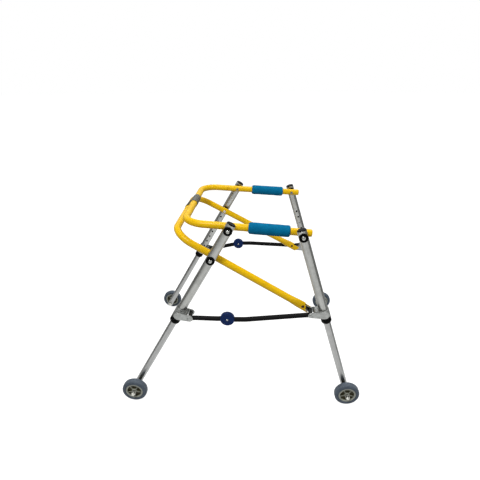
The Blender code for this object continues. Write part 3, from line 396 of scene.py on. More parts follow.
def eased(points, radius, steps=4, closed=False):
    """Round the corners of an outline or route to a radius, less where it is tight."""
    result = []
    count = len(points)
    for index, point in enumerate(points):
        here = Vector(point)
        arrive = here - Vector(points[index - 1])
        leave = Vector(points[(index + 1) % count]) - here
        angle = arrive.angle(leave, 0.0)
        if angle < radians(12) or not closed and index in (0, count - 1):
            result.append(tuple(point))
            continue
        back = min(radius * tan(angle / 2), arrive.length * 0.48, leave.length * 0.48)
        bend = back / tan(angle / 2)
        arrive.normalize()
        leave.normalize()
        inward = (leave - arrive * arrive.dot(leave)).normalized()
        for step in range(steps + 1):
            turn = angle * step / steps
            spot = here - arrive * back + arrive * bend * sin(turn)
            result.append(tuple(spot + inward * bend * (1 - cos(turn))))
    return result


def lathe(profile, axis=Z_AXIS, centre=ORIGIN, sides=ROUND, closed=False, look=0, shaped=None):
    """Shell turned from (radius, height) points about an axis; closed gives a ring.

    shaped may change the radius as a function of radius, height and angle.
    """
    turn = Z_AXIS.rotation_difference(Vector(axis)).to_matrix()
    rings = []
    for radius, height in profile:
        ring = []
        for angle in full_turn(sides if radius > SAME else 1):
            reach = shaped(radius, height, angle) if shaped else radius
            point = Vector((reach * cos(angle), reach * sin(angle), height))
            ring.append(turn @ point + Vector(centre))
        rings.append(ring)
    return rings, closed, look


def rod(radius, low, high, axis=Z_AXIS, centre=ORIGIN, sides=SMALL_ROUND, ease=0.0):
    """Cylinder between two heights, with its edges eased where asked for."""
    profile = [(0, low), (radius, low), (radius, high), (0, high)]
    return lathe(eased(profile, ease) if ease else profile, axis, centre, sides)


def dome(radius, seat, height, steps=8):
    """Profile of a domed head that rises from its seat to the axis."""
    sides = [(radius * cos(angle), seat + height * sin(angle))
             for angle in quarter_turn(steps)[1:-1]]
    return [(radius, seat), *sides, (0, seat + height)]


def domed_head(radius, seat, height, axis, centre, look=0):
    """Domed head, closed at its seat."""
    return lathe([(0, seat)] + dome(radius, seat, height), axis, centre, SMALL_ROUND, look=look)


def hexagon(radius, low, high, axis, centre):
    """Hexagonal nut with its corners turned off top and bottom."""
    flat = radius * cos(pi / 6)
    turned = radius * 0.9
    ease = radius * 0.1

    def six_sided(cap, _, angle):
        return min(flat / cos((angle + pi / 6) % (pi / 3) - pi / 6), cap)

    return lathe([(turned, low), (radius, low + ease), (radius, high - ease), (turned, high)],
                 axis, centre, shaped=six_sided)


def low_nut(face, height, axis, centre, stud=0.0036, bevel=(0.0006, 0.0007), sunk=0.0):
    """Low nut under a face, with the bolt's end standing a little out of it."""
    tip = face - 0.0035
    return [hexagon(NUT_RADIUS, face - height, face + sunk, axis, centre),
            lathe([(0, tip), (stud - bevel[0], tip), (stud, tip + bevel[1]), (stud, face),
                   (0, face)], axis, centre, SMALL_ROUND)]


def slab(outline, low, high, edge=0.0, matrix=Matrix.Identity(4)):
    """Plate between two depths along Y with rounded edges, its (x, z) outline anticlockwise."""
    count = len(outline)
    inward = []
    for index in range(count):
        here = Vector(outline[index])
        arrive = (here - Vector(outline[index - 1])).normalized()
        leave = (Vector(outline[(index + 1) % count]) - here).normalized()
        first = Vector((-arrive.y, arrive.x))
        middle = (first + Vector((-leave.y, leave.x))).normalized()
        inward.append(middle / max(middle.dot(first), 0.4))
    stages = [(low + edge * (1 - cos(angle)), edge * (1 - sin(angle)))
              for angle in (quarter_turn(3) if edge else [0.0])]
    stages += [(low + high - depth, inset) for depth, inset in stages[::-1]]
    rings = []
    for depth, inset in stages:
        spots = [Vector(point) + normal * inset for point, normal in zip(outline, inward)]
        rings.append([matrix @ Vector((spot.x, depth, spot.y)) for spot in spots])
    return rings, False, 0


def stadium(start, end, radius_start, radius_end, steps=18):
    """Outline round two circles, as (x, z) points."""
    axis = atan2(end[1] - start[1], end[0] - start[0])
    points = []
    for centre, radius, turn in ((start, radius_start, axis + pi / 2),
                                 (end, radius_end, axis - pi / 2)):
        for index in range(steps + 1):
            angle = turn + pi * index / steps
            points.append((centre[0] + radius * cos(angle), centre[1] + radius * sin(angle)))
    return points


def tangents(route):
    """Direction of the route at each of its points."""
    result = []
    for index, point in enumerate(route):
        arrive = point - route[max(index - 1, 0)]
        leave = route[min(index + 1, len(route) - 1)] - point
        result.append((arrive.normalized() + leave.normalized()).normalized())
    return result


def bent(corners, radius):
    """Route of a tube bent at its inner corners."""
    return [Vector(point) for point in eased(corners, radius, 24)]


def sweep(route, slope, section, inner_look=0):
    """Hollow oval tube of the frame; section gives half height and half width at each point."""
    up = Vector((-slope, 0, 1)).normalized()
    walls = []
    for trim in (0.0, TUBE_WALL):
        rings = []
        for point, along, (half_height, half_width) in zip(route, tangents(route), section):
            across = along.cross(up).normalized()
            rings.append([point + (up * (half_height - trim) * cos(angle)
                                   + across * (half_width - trim) * sin(angle))
                          for angle in full_turn(ROUND)])
        walls.append(rings)
    outer, inner = walls
    looks = [0] * len(outer) + [inner_look] * (len(inner) - 1) + [0]
    return outer + inner[::-1], True, looks


def smoothed(mesh, sharp):
    """Shade a mesh smooth but for edges sharper than an angle in degrees."""
    mesh.shade_smooth()
    mesh.set_sharp_from_angle(angle=radians(sharp))
    return mesh


def made(*shells, sharp=38):
    """Smooth mesh of closed shells, with outward faces and sharp edges kept."""
    builder = bmesh.new()
    for rings, closed, look in shells:
        rings = [[builder.verts.new(point) for point in ring] for ring in rings]
        pairs = list(zip(rings, rings[1:] + rings[:1] if closed else rings[1:]))
        looks = look if isinstance(look, list) else [look] * len(pairs)
        for (first, second), chosen in zip(pairs, looks):
            for index in range(max(len(first), len(second))):
                after = index + 1
                corners = [ring[spot % len(ring)] for ring, spot in
                           ((first, index), (first, after), (second, after), (second, index))]
                builder.faces.new(list(dict.fromkeys(corners))).material_index = chosen
        if not closed:
            for ring in (rings[0], rings[-1]):
                if len(ring) > 2:
                    builder.faces.new(ring).material_index = looks[0]
    bmesh.ops.recalc_face_normals(builder, faces=builder.faces)
    mesh = bpy.data.meshes.new("piece")
    builder.to_mesh(mesh)
    builder.free()
    return smoothed(mesh, sharp)


def linked(name, data):
    """New object in the scene."""
    obj = bpy.data.objects.new(name, data)
    bpy.context.scene.collection.objects.link(obj)
    return obj


def modified(mesh, *steps, sharp=38):
    """Apply modifiers, each a type and its settings, and give back the new mesh."""
    holder = linked("holder", mesh)
    for kind, settings in steps:
        modifier = holder.modifiers.new(kind, kind)
        for name, value in settings.items():
            setattr(modifier, name, value)
    bpy.context.view_layer.update()
    evaluated = holder.evaluated_get(bpy.context.evaluated_depsgraph_get())
    result = bpy.data.meshes.new_from_object(evaluated)
    bpy.data.objects.remove(holder)
    return smoothed(result, sharp)


def carved(mesh, *shells):
    """Cut shells out of a mesh."""
    tool = linked("cutter", made(*shells))
    result = modified(mesh, ("BOOLEAN", {"operation": "DIFFERENCE", "solver": "EXACT",
                                         "object": tool}))
    bpy.data.objects.remove(tool)
    return result


def cast(*shells):
    """Melt overlapping shells into one casting with soft inner corners."""
    return modified(made(*shells), ("REMESH", {"mode": "VOXEL", "voxel_size": 0.0006}),
                    ("SMOOTH", {"factor": 0.5, "iterations": 5}), ("DECIMATE", {"ratio": 0.35}),
                    sharp=60)


def set_looks(mesh, finishes):
    """Give a mesh its materials and leave the faces' choice among them as it is."""
    for index, finish in enumerate(finishes):
        if index == len(mesh.materials):
            mesh.materials.append(finish)
        mesh.materials[index] = finish


def piece(name, mesh, finishes, body, replaced=(), matrix=Matrix.Identity(4)):
    """Put a finished mesh in the scene, on its body and in place of its nodes."""
    obj = linked(name, mesh)
    mesh.name = name
    set_looks(mesh, finishes)
    obj.matrix_world = matrix
    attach(obj, body)
    if replaced:
        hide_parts(*replaced)
    return obj


# Places that several pieces share

def frame_at(origin, x_axis, y_axis, z_axis):
    """Matrix with its origin at a place and these axes."""
    turn = Matrix((x_axis, y_axis, z_axis)).transposed()
    return Matrix.Translation(origin) @ turn.to_4x4()


def rail_z(x):
    return RAIL_HEIGHT + RAIL_SLOPE * (x - REAR_PIVOT_X)


def rail_half_width(x):
    return RAIL_REAR_HALF_WIDTH + RAIL_FLARE * (x - RAIL_REAR_X)


def rail_point(x, side):
    return Vector((x, side * rail_half_width(x), rail_z(x)))


def rail_axis(side):
    """Direction of a handrail's arm, forwards."""
    return Vector((1, side * RAIL_FLARE, RAIL_SLOPE)).normalized()


def lower_half_width(x):
    return LOWER_REAR_HALF_WIDTH + LOWER_FLARE * (x - LOWER_REAR_X)


def lower_point(x, side):
    height = LOWER_REAR_Z + LOWER_SLOPE * (x - LOWER_REAR_X)
    return Vector((x, side * lower_half_width(x), height))


def arm_matrix(side):
    """Frame at a lower arm's pin: +X towards the flat end, +Z up, +Y to the left."""
    along = Vector((1, side * LOWER_FLARE, LOWER_SLOPE)).normalized()
    left = (Y_AXIS - along * along.y).normalized()
    return frame_at(lower_point(LOWER_PIN_X, side), along, left, along.cross(left))


class Leg:
    """Frame and stations of one leg."""

    def __init__(self, end, side_name):
        self.end = end
        self.name = end + "_" + side_name
        self.strut_name = side_name + "_" + end
        self.side = SIDES[side_name]
        self.rear = end == "rear"
        pivot_x = REAR_PIVOT_X if self.rear else FRONT_PIVOT_X
        axle_x = -WHEELBASE / 2 if self.rear else WHEELBASE / 2
        self.rail_gap = TUBE_RADIUS + SPACER[end] + LEG_RADIUS
        half_width = rail_half_width(pivot_x) + self.rail_gap
        height = rail_z(pivot_x) - WHEEL_RADIUS
        self.pivot = Vector((pivot_x, self.side * half_width, rail_z(pivot_x)))
        self.axle = Vector((axle_x, self.side * (half_width + SPLAY[end] * height), WHEEL_RADIUS))
        up = (self.pivot - self.axle).normalized()
        left = (Y_AXIS - up * up.dot(Y_AXIS)).normalized()
        self.matrix = frame_at(self.pivot, left.cross(up), left, up)
        self.length = (self.pivot - self.axle).length
        self.outboard = self.matrix.to_3x3().inverted() @ (Y_AXIS * self.side)
        self.button = BUTTON_STATION[end]
        self.sleeve_top, self.sleeve_end = SLEEVE[end]
        self.strut = Vector((STRUT_OFFSET[end], 0, -STRUT_STATION[end]))
        self.strut_middle = STRUT_Y - self.half_width(STRUT_STATION[end])
        self.outer_face = self.strut_middle + STRUT_THICKNESS / 2 + CHEEK_GAP + CHEEK
        self.inner_face = INNER_FACE[end]
        self.hub_middle = INNER_RADIUS + AXLE_SPACER[end] + HUB_WIDTH / 2

    def world(self, point):
        return self.matrix @ Vector(point)

    def half_width(self, station):
        return abs(self.world((0, 0, -station)).y)

    def lower_pin(self):
        """Lower frame pin in the leg's frame, on the leg's mid plane."""
        spot = lower_point(LOWER_PIN_X, self.side)
        spot.y = self.side * self.half_width(self.sleeve_top)
        return self.matrix.inverted() @ spot

    def plate(self, outline, low, high, edge):
        """Slab between two distances outboard."""
        return slab(outline, *sorted((self.side * low, self.side * high)), edge)

    def put(self, name, mesh, finishes, body, slot, node=None, matrix=None):
        """Put a mesh on one of the leg's bodies, in place of one of its nodes if any."""
        piece(self.name + name, mesh, finishes, self.name + body,
              [self.name + node] if node else (), matrix or self.matrix)


# Legs

def drilled_tube(leg, radius, top, bottom, band, sides, hole, steps):
    """Tube with a row of holes on its inboard face, its inside painted with shade."""
    bore = radius - LEG_WALL
    profile = [(radius - LIP, top), (radius, top - LIP)]
    profile += [(radius, top - band * step) for step in range(1, int((top - bottom) / band))]
    profile += [(radius, bottom + LIP), (radius - LIP, bottom), (bore, bottom), (bore, top)]
    holes = [lathe(hole, -leg.outboard, (0, 0, -(leg.button + step * HOLE_PITCH)), HOLE_ROUND)
             for step in steps]
    mesh = carved(made(lathe(profile, sides=sides, closed=True)), *holes)
    set_looks(mesh, [LEG_ALUMINIUM, BORE_SHADE])
    # Inside wall and hole walls take the bore's painted shade
    for face in mesh.polygons:
        if abs(face.normal.z) < 0.5 and face.center.xy.length < radius - LIP:
            face.material_index = 1
    return mesh


def leg_tube(leg):
    """Outer tube, its holes lightly countersunk."""
    rim = LEG_RADIUS + 0.0003
    flare = HOLE_RADIUS + 0.0004
    hole = [(0, 0), (HOLE_RADIUS, 0), (HOLE_RADIUS, LEG_RADIUS - 0.0007), (flare, rim), (0, rim)]
    mesh = drilled_tube(leg, LEG_RADIUS, LEG_TOP, -leg.sleeve_end, 0.008, FINE_ROUND, hole, HOLES)
    leg.put("_outer_tube", mesh, [LEG_ALUMINIUM, BORE_SHADE], "_leg", "aluminium", "_leg_tube")


def top_cap(leg):
    """Domed plug that leaves a thin ring of the tube's end showing."""
    stem = LEG_RADIUS - LEG_WALL - GAP
    radius = LEG_RADIUS - 0.0006
    head = [(radius, 0), (radius, 0.0011), (radius - 0.0006, 0.0017), (radius - 0.0022, 0.0023),
            (LEG_RADIUS * 0.5, 0.0027), (0, 0.0028)]
    plug = lathe([(0, -0.0073), (stem, -0.0073), (stem, 0)] + eased(head, 0.0006),
                 centre=(0, 0, LEG_TOP + GAP))
    leg.put("_cap", made(plug), [BLACK], "_leg", "black_plastic", "_top_cap")


def collar(leg):
    """Bush at the tube's mouth, with a shallow groove and a tapered foot."""
    foot = -0.021
    radius = 0.0163
    groove = radius - 0.0007
    bore = INNER_RADIUS + GAP
    stem = LEG_RADIUS - LEG_WALL - GAP
    profile = [(bore, 0.016), (stem, 0.016), (stem, 0), (radius, 0), (radius, -0.0050),
               (groove, -0.0057), (groove, -0.0069), (radius, -0.0076), (radius, foot + 0.0045),
               (radius - 0.0022, foot), (bore, foot)]
    bush = lathe(eased(profile, 0.0007, closed=True), centre=(0, 0, -leg.sleeve_end - GAP),
                 closed=True)
    leg.put("_bush_collar", made(bush), [BLACK], "_leg", "black_plastic", "_collar")


def bracket(leg):
    """Cast sleeve with two cheeks joined by a web, and a tongue on the front legs."""
    outside = LEG_RADIUS + 0.0027
    bore = LEG_RADIUS + 0.0002
    ring = [(bore, -leg.sleeve_top), (outside, -leg.sleeve_top), (outside, -leg.sleeve_end),
            (bore, -leg.sleeve_end)]
    middle = (0, -(leg.sleeve_top + leg.sleeve_end) / 2)
    boss = BOSS_RADIUS[leg.end]
    arm = stadium(leg.strut.xz, middle, boss, 0.0135)
    towards = (Vector((0, 0, middle[1])) - leg.strut).normalized()
    tip = leg.strut + towards * (STRUT_HEIGHT / 2 + 0.0095)
    web = stadium(tip.xz, middle, 0.008, 0.011)
    inset = 0.002
    plates = [(arm, leg.outer_face - CHEEK, leg.outer_face),
              (web, inset - leg.inner_face, leg.outer_face - inset),
              (arm, -leg.inner_face, CHEEK - leg.inner_face)]
    if not leg.rear:
        tongue = stadium(leg.lower_pin().xz, leg.strut.xz, 0.006, boss)
        plates.append((tongue, -leg.inner_face, CHEEK - leg.inner_face))
    mesh = cast(lathe(eased(ring, 0.0008, closed=True), closed=True),
                *[leg.plate(*plate, 0.0009) for plate in plates])
    beyond = 0.01
    mesh = carved(mesh, rod(bore, beyond - leg.sleeve_top, -leg.sleeve_end - beyond,
                            sides=FINE_ROUND))
    leg.put("_clamp", mesh, [CASTING], "_leg", "cast_aluminium", "_bracket")


def strut_pin(leg):
    """Pin through both cheeks and the strut: a black spacer and a pale riveted head."""
    near = leg.strut_middle - STRUT_THICKNESS / 2 - GAP
    far = leg.strut_middle + STRUT_THICKNESS / 2 + GAP
    inside = 0.003 - leg.inner_face
    head = leg.outer_face
    spacer, pin = 0.0062, 0.0035
    shells = [lathe([(0, inside), (spacer, inside), (spacer, near), (pin, near), (pin, far),
                     (pin, head - 0.001), (0, head - 0.001)], leg.outboard, leg.strut,
                    SMALL_ROUND),
              domed_head(0.0062, head - 0.0008, 0.0036, leg.outboard, leg.strut, look=1)]
    if leg.rear:
        shells += low_nut(-leg.inner_face, 0.0022, leg.outboard, leg.strut, 0.0028,
                          (0.0004, 0.0004), 0.0002)
    else:
        cover = stadium(leg.lower_pin().lerp(leg.strut, 0.4).xz, leg.strut.xz, 0.0052, 0.0075)
        face = CHEEK - leg.inner_face
        shells.append(leg.plate(cover, face - 0.0003, face + 0.0008, 0.0003))
    leg.put("_strut_pin", made(*shells), [DARK_STEEL, CASTING], "_leg", "black_steel")


def pivot(leg, level, station, half_width, flare, washers_node, nut_face=None, bolt_node=None):
    """Washer and spacer hollowed to sit on the tube, and a bolt with a domed chrome head."""
    outer = LEG_RADIUS + 0.003
    dish = outer - 0.0007
    radius, spacer = 0.0132, 0.0125
    face = half_width + TUBE_RADIUS + flare * spacer + GAP - leg.half_width(station)
    place = leg.outboard, (0, 0, -station)
    washer = [(0, 0.004), (radius, 0.004), (radius, outer), (0.0098, outer), (0.0092, dish),
              (0.0078, dish), (0, dish)]
    beyond = 0.03
    washers = carved(made(lathe(eased(washer, 0.0009), *place),
                          rod(spacer, face, -0.005, *place, ROUND, 0.0008)),
                     rod(LEG_RADIUS + 0.0001, beyond - station, -beyond - station,
                         sides=FINE_ROUND))
    leg.put(level + "_washers", washers, [BLACK], "_leg", "black_plastic", washers_node)
    seat = LEG_RADIUS + 0.0023
    rim = 0.0062
    head = [(0, seat - 0.001), (rim, seat - 0.001), (rim, seat + 0.0008)]
    shells = [lathe(head + dome(0.0060, seat + 0.0010, 0.0052), *place)]
    if nut_face:
        shells += low_nut(nut_face, 0.0024, *place)
    leg.put(level + "_pivot", made(*shells), [CHROME], "_leg", "chrome", bolt_node)


def inner_tube(leg):
    """Sliding tube, drilled from the button downwards."""
    hole = [(0, 0), (HOLE_RADIUS, 0), (HOLE_RADIUS, 0.012), (0, 0.012)]
    mesh = drilled_tube(leg, INNER_RADIUS, 0.015 - leg.button, -(leg.length + LEG_END_TAIL),
                        0.010, 56, hole, [step for step in HOLES if step >= 0])
    leg.put("_sliding_tube", mesh, [SLIDE_ALUMINIUM, BORE_SHADE], "_extension", "aluminium",
            "_inner_tube")


def axle_bolt(leg):
    """Axle with a spacer and a washer, and a hexagonal acorn nut at each end."""
    leg_face = INNER_RADIUS + 0.0001
    hub_inner = leg.hub_middle - HUB_WIDTH / 2 - GAP
    hub_outer = leg.hub_middle + HUB_WIDTH / 2 + GAP
    washer = hub_outer + 0.005
    centre = (0, 0, -leg.length)
    place = leg.outboard, centre
    shells = [rod(0.004, -leg_face, hub_outer, *place),
              rod(0.0075, leg_face - 0.002, hub_inner, *place, ROUND, 0.0005),
              rod(AXLE_NUT_RADIUS, hub_outer, washer, *place, ROUND, 0.0006)]
    for axis, low, face in ((leg.outboard, washer, washer),
                            (-leg.outboard, leg_face - 0.0006, leg_face)):
        end = face + AXLE_NUT_HEIGHT
        shells += [hexagon(AXLE_NUT_RADIUS, low, end, axis, centre),
                   domed_head(0.0057, end - 0.001, 0.007, axis, centre)]
    leg.put("_axle", made(*shells), [ZINC], "_extension", "chrome", "_axle_bolt")


def snap_button(leg):
    """Spring button whose dome stands just proud of its hole."""
    radius, base = 0.003, 0.0045
    height = 0.0018
    profile = [(0, 0.0065), (base, 0.0065), (base, 0.0083), (radius, 0.0083)]
    button = lathe(profile + dome(radius, LEG_RADIUS + 0.002 - height, height, 6),
                   -leg.outboard, (0, 0, -leg.button), SMALL_ROUND)
    leg.put("_spring_button", made(button), [CHROME], "_button", "chrome", "_snap_button")


def mirrored(profile):
    """Profile of one side of a wheel, followed back by the other side's."""
    return profile + [(radius, -height) for radius, height in profile[::-1]]


def tyre_mesh():
    """Solid tyre: crowned tread with a fine parting ridge, rounded shoulders, stepped sidewall."""
    half = WHEEL_WIDTH / 2
    step = half - 0.0005
    shoulder = 0.0055
    tread = WHEEL_RADIUS - 0.0003
    profile = [(0.0288, half - 0.0016), (0.0292, half - 0.0004), (0.0300, half),
               (0.0316, half), (0.0320, step), (0.0326, step)]
    profile += [(tread - shoulder * (1 - sin(angle)), step - shoulder * (1 - cos(angle)))
                for angle in quarter_turn(8)]
    profile += [(WHEEL_RADIUS - 0.0001, 0.0022), (WHEEL_RADIUS - 0.0001, 0.0005),
                (WHEEL_RADIUS, 0.0002)]
    return made(lathe(mirrored(profile), Y_AXIS, sides=96, closed=True), sharp=50)


def hub_mesh():
    """Moulded hub: rim ring, web, boss and five tapered ribs on each face."""
    half = HUB_WIDTH / 2
    web = 0.002
    bore, boss, inner, rim = 0.0043, 0.0085, 0.0232, 0.0285
    profile = mirrored([(bore, -half), (boss, -half), (boss, -web), (inner, -web),
                        (inner, -half), (rim, -half)])
    rib = [(0.0066, -0.0019), (0.0255, -0.0013), (0.0255, 0.0013), (0.0066, 0.0019)]
    ribs = [slab(rib, -0.008, 0.008, 0.0007,
                 Matrix.Rotation(radians(18 + 72 * index), 4, "Y")) for index in range(5)]
    ring = lathe(eased(profile, 0.0009, 3, True), Y_AXIS, sides=80, closed=True)
    return made(ring, *ribs)


def wheel(leg, tyre, hub):
    """Tyre and hub on the leg's axle, turned to face outboard."""
    place = Matrix.Translation((leg.axle.x, leg.side * (abs(leg.axle.y) + leg.hub_middle),
                                leg.axle.z))
    if leg.side < 0:
        place = place @ Matrix.Rotation(pi, 4, "Z")
    leg.put("_solid_tyre", tyre.copy(), [TYRE_GREY], "_wheel", "tyre", "_tyre", place)
    leg.put("_wheel_hub", hub.copy(), [HUB_GREY], "_wheel", "hub_plastic", "_hub", place)


def build_leg(leg, tyre, hub):
    for build in (leg_tube, top_cap, collar, bracket, strut_pin):
        build(leg)
    pivot(leg, "_upper", 0.0, rail_half_width(leg.pivot.x), RAIL_FLARE, "_upper_bush",
          -(leg.rail_gap + TUBE_RADIUS), "_upper_bolt")
    if leg.rear:
        x = leg.world((0, 0, -LOWER_BOLT_STATION)).x
        pivot(leg, "_lower", LOWER_BOLT_STATION, lower_half_width(x), LOWER_FLARE, "_lower_bolt")
    for build in (inner_tube, axle_bolt, snap_button):
        build(leg)
    wheel(leg, tyre, hub)


# Frames, grips, struts and clip

def handrail():
    """Bent tube with a shallow plug in each open end."""
    ease = 0.0005
    route = bent([rail_point(x, side) for side, x in ((-1, RAIL_FRONT_X), (-1, RAIL_REAR_X),
                                                      (1, RAIL_REAR_X), (1, RAIL_FRONT_X))],
                 RAIL_BEND_RADIUS)
    route.insert(1, route[0] + (route[1] - route[0]).normalized() * ease)
    route.insert(-1, route[-1] + (route[-2] - route[-1]).normalized() * ease)
    end = [(TUBE_RADIUS - ease, TUBE_RADIUS - ease)]
    section = end + [(TUBE_RADIUS, TUBE_RADIUS)] * (len(route) - 2) + end
    radius, rim = 0.0094, 0.0102
    head = [(rim, 0.0001), (rim, 0.0010), (radius, 0.0020), (0.0070, 0.0027), (0, 0.0030)]
    plug = [(0, -0.014), (radius, -0.014), (radius, 0.0001)] + eased(head, 0.0008)
    mesh = made(sweep(route, RAIL_SLOPE, section),
                *[lathe(plug, rail_axis(side), rail_point(RAIL_FRONT_X, side))
                  for side in SIDES.values()])
    piece("handrail", mesh, [YELLOW], "upper_frame", ["handrail_frame"])


def grip(side_name):
    """Foam sleeve: rolled ends that hug the tube, a slightly slack and uneven skin."""
    side = SIDES[side_name]
    steps = 60
    skin = GRIP_RADIUS - 0.00028
    chamfer = 0.0012
    rolled = [(skin - GRIP_ROLL * (1 - sin(angle)), GRIP_ROLL * (1 - cos(angle)))
              for angle in quarter_turn(8)]
    profile = rolled + [(skin, GRIP_ROLL + (GRIP_LENGTH - 2 * GRIP_ROLL) * index / steps)
                        for index in range(1, steps)]
    profile += [(radius, GRIP_LENGTH - distance) for radius, distance in rolled[::-1]]
    profile += [(TUBE_RADIUS, GRIP_LENGTH - chamfer), (TUBE_RADIUS, chamfer)]

    def uneven(radius, distance, angle):
        if radius <= TUBE_RADIUS:
            return radius
        slack = sin(distance * 95 + side) * cos(2 * angle + distance * 31)
        return radius + 0.00016 * (slack + 0.6 * sin(distance * 210 + 3 * angle))

    mesh = made(lathe(profile, sides=56, closed=True, shaped=uneven), sharp=70)
    turn = Z_AXIS.rotation_difference(rail_axis(side)).to_matrix().to_4x4()
    place = Matrix.Translation(rail_point(GRIP_REAR_X, side)) @ turn
    sleeve = piece("foam_grip_" + side_name, mesh, [FOAM], "upper_frame",
                   ["grip_" + side_name], place)


def lower_frame():
    """Bent tube whose ends are pressed flat, cut off slanting and opened outboard."""
    route = bent([lower_point(x, side) for side, x in ((-1, 0), (-1, LOWER_REAR_X),
                                                       (1, LOWER_REAR_X), (1, 0))],
                 LOWER_BEND_RADIUS)[1:-1]
    section = [(TUBE_RADIUS, TUBE_RADIUS)] * len(route)
    for distance, share in FLATTENING:
        half = (TUBE_RADIUS + (FLAT_HALF_HEIGHT - TUBE_RADIUS) * share,
                TUBE_RADIUS + (FLAT_HALF_WIDTH - TUBE_RADIUS) * share)
        near, far = (arm_matrix(side) @ Vector((distance, 0, 0)) for side in (-1, 1))
        route = [near] + route + [far]
        section = [half] + section + [half]
    # Inside wall of the tube takes the bore's painted shade, dark in the open ends
    mesh = made(sweep(route, LOWER_SLOPE, section, inner_look=1))
    set_looks(mesh, [YELLOW, BORE_SHADE])
    wall = -(FLAT_HALF_WIDTH - TUBE_WALL)
    beyond = 0.02
    for outline, inner in ((SLANT, -beyond), (eased(MOUTH, 0.002, 5, True), wall)):
        for side in (-1, 1):
            depths = sorted((side * inner, side * beyond))
            mesh = carved(mesh, slab(outline[::-1], *depths, matrix=arm_matrix(side)))
    piece("lower_tube", mesh, [YELLOW, BORE_SHADE], "lower_frame", ["lower_frame"])


def lower_fastenings(legs):
    """Pins through the pressed ends, and the nuts of the rear pivots on the tube's inner face."""
    rivets = []
    nuts = []
    for leg in legs:
        axis = Y_AXIS * leg.side
        if leg.rear:
            centre = leg.world((0, 0, -LOWER_BOLT_STATION))
            centre.y = leg.side * lower_half_width(centre.x)
            nuts += low_nut(0.0004 - TUBE_RADIUS, 0.0026, axis, centre)
            continue
        centre = lower_point(LOWER_PIN_X, leg.side)
        rivets.append(rod(0.003, -FLAT_HALF_WIDTH, FLAT_HALF_WIDTH, axis, centre))
        rivets += [domed_head(0.0050, FLAT_HALF_WIDTH - 0.0008, 0.0021, axis * turn, centre)
                   for turn in (1, -1)]
    piece("lower_tube_rivets", made(*rivets), [RIVET], "lower_frame")
    piece("lower_tube_nuts", made(*nuts), [ZINC], "lower_frame")


def clip():
    """Moulded clip: a thin sleeve round the handrail's cross tube and a narrow hook below."""
    ring = Vector((RAIL_REAR_X, 0, rail_z(RAIL_REAR_X)))
    reach = Vector((LOWER_REAR_X, 0, LOWER_REAR_Z)) - ring
    span = reach.length
    outer = TUBE_RADIUS + 0.0018
    low, high = 0.015 - 0.035, 0.015 + 0.035
    arm = 0.003 - outer
    foot = -outer - 0.0005
    below = -span * 2
    beyond = 0.002
    aside = 0.03
    mouth = [(arm, foot), (outer * 2, foot), (outer * 2, below), (0, below),
             (0, outer - span), (arm, outer - span)]
    beside = [(-aside, below), (aside, below), (aside, foot), (-aside, foot)]
    cutters = [slab(mouth[::-1], low - beyond, high + beyond),
               slab(beside, low - beyond, high - 0.009)]
    cutters += [rod(radius, low - beyond, high + beyond, Y_AXIS, (0, 0, level), FINE_ROUND)
                for level, radius in ((0, TUBE_RADIUS + 0.0001), (-span, TUBE_RADIUS + 0.0002))]
    mesh = made(slab(stadium((0, 0), (0, -span), outer, outer, 32), low, high, 0.0007))
    for cutter in cutters:
        mesh = carved(mesh, cutter)
    mesh = modified(mesh, ("BEVEL", {"width": 0.0005, "segments": 2, "limit_method": "ANGLE",
                                     "angle_limit": radians(40)}))
    place = Matrix.Translation(ring) @ Matrix.Rotation(atan2(-reach.x, -reach.z), 4, "Y")
    piece("snap_clip", mesh, [CLIP_GREY], "clip", ["fold_clip"], place)


def bar_shell(leg, length, level):
    """Grooved flat bar from its pin at the origin along +X, cranked outboard to a level."""
    top = STRUT_HEIGHT / 2
    crank = 0.015
    ease = 0.006
    bend = length - STRAIGHT[leg.end]
    rise = (level - STRUT_Y) / (bend - crank)
    stations = [(-top * share, STRUT_Y, sqrt(1 - share ** 2))
                for share in (0.995, 0.95, 0.85, 0.7, 0.5, 0.25)]
    stations += [(0, STRUT_Y, 1), (crank - ease, STRUT_Y, 1),
                 (crank, STRUT_Y + rise * ease / 4, 1), (crank + ease, STRUT_Y + rise * ease, 1),
                 (bend - ease, level - rise * ease, 1), (bend, level - rise * ease / 4, 1),
                 (bend + ease, level, 1), (length - 0.0065, level, 1)]
    route = [Vector((x, leg.side * y, 0)) for x, y, _ in stations]
    half = STRUT_THICKNESS / 2
    groove = half - 0.0007
    shape = [(half, -1), (half, -0.40), (groove, -0.26), (groove, 0.26), (half, 0.40), (half, 1)]
    shape = eased(shape + [(-across, height) for across, height in shape[::-1]], 0.0004, 3, True)
    rings = []
    for point, direction, (_, _, share) in zip(route, tangents(route), stations):
        across = direction.cross(Z_AXIS).normalized()
        rings.append([point + across * x + Z_AXIS * z * top * share for x, z in shape])
    return rings, False, 0


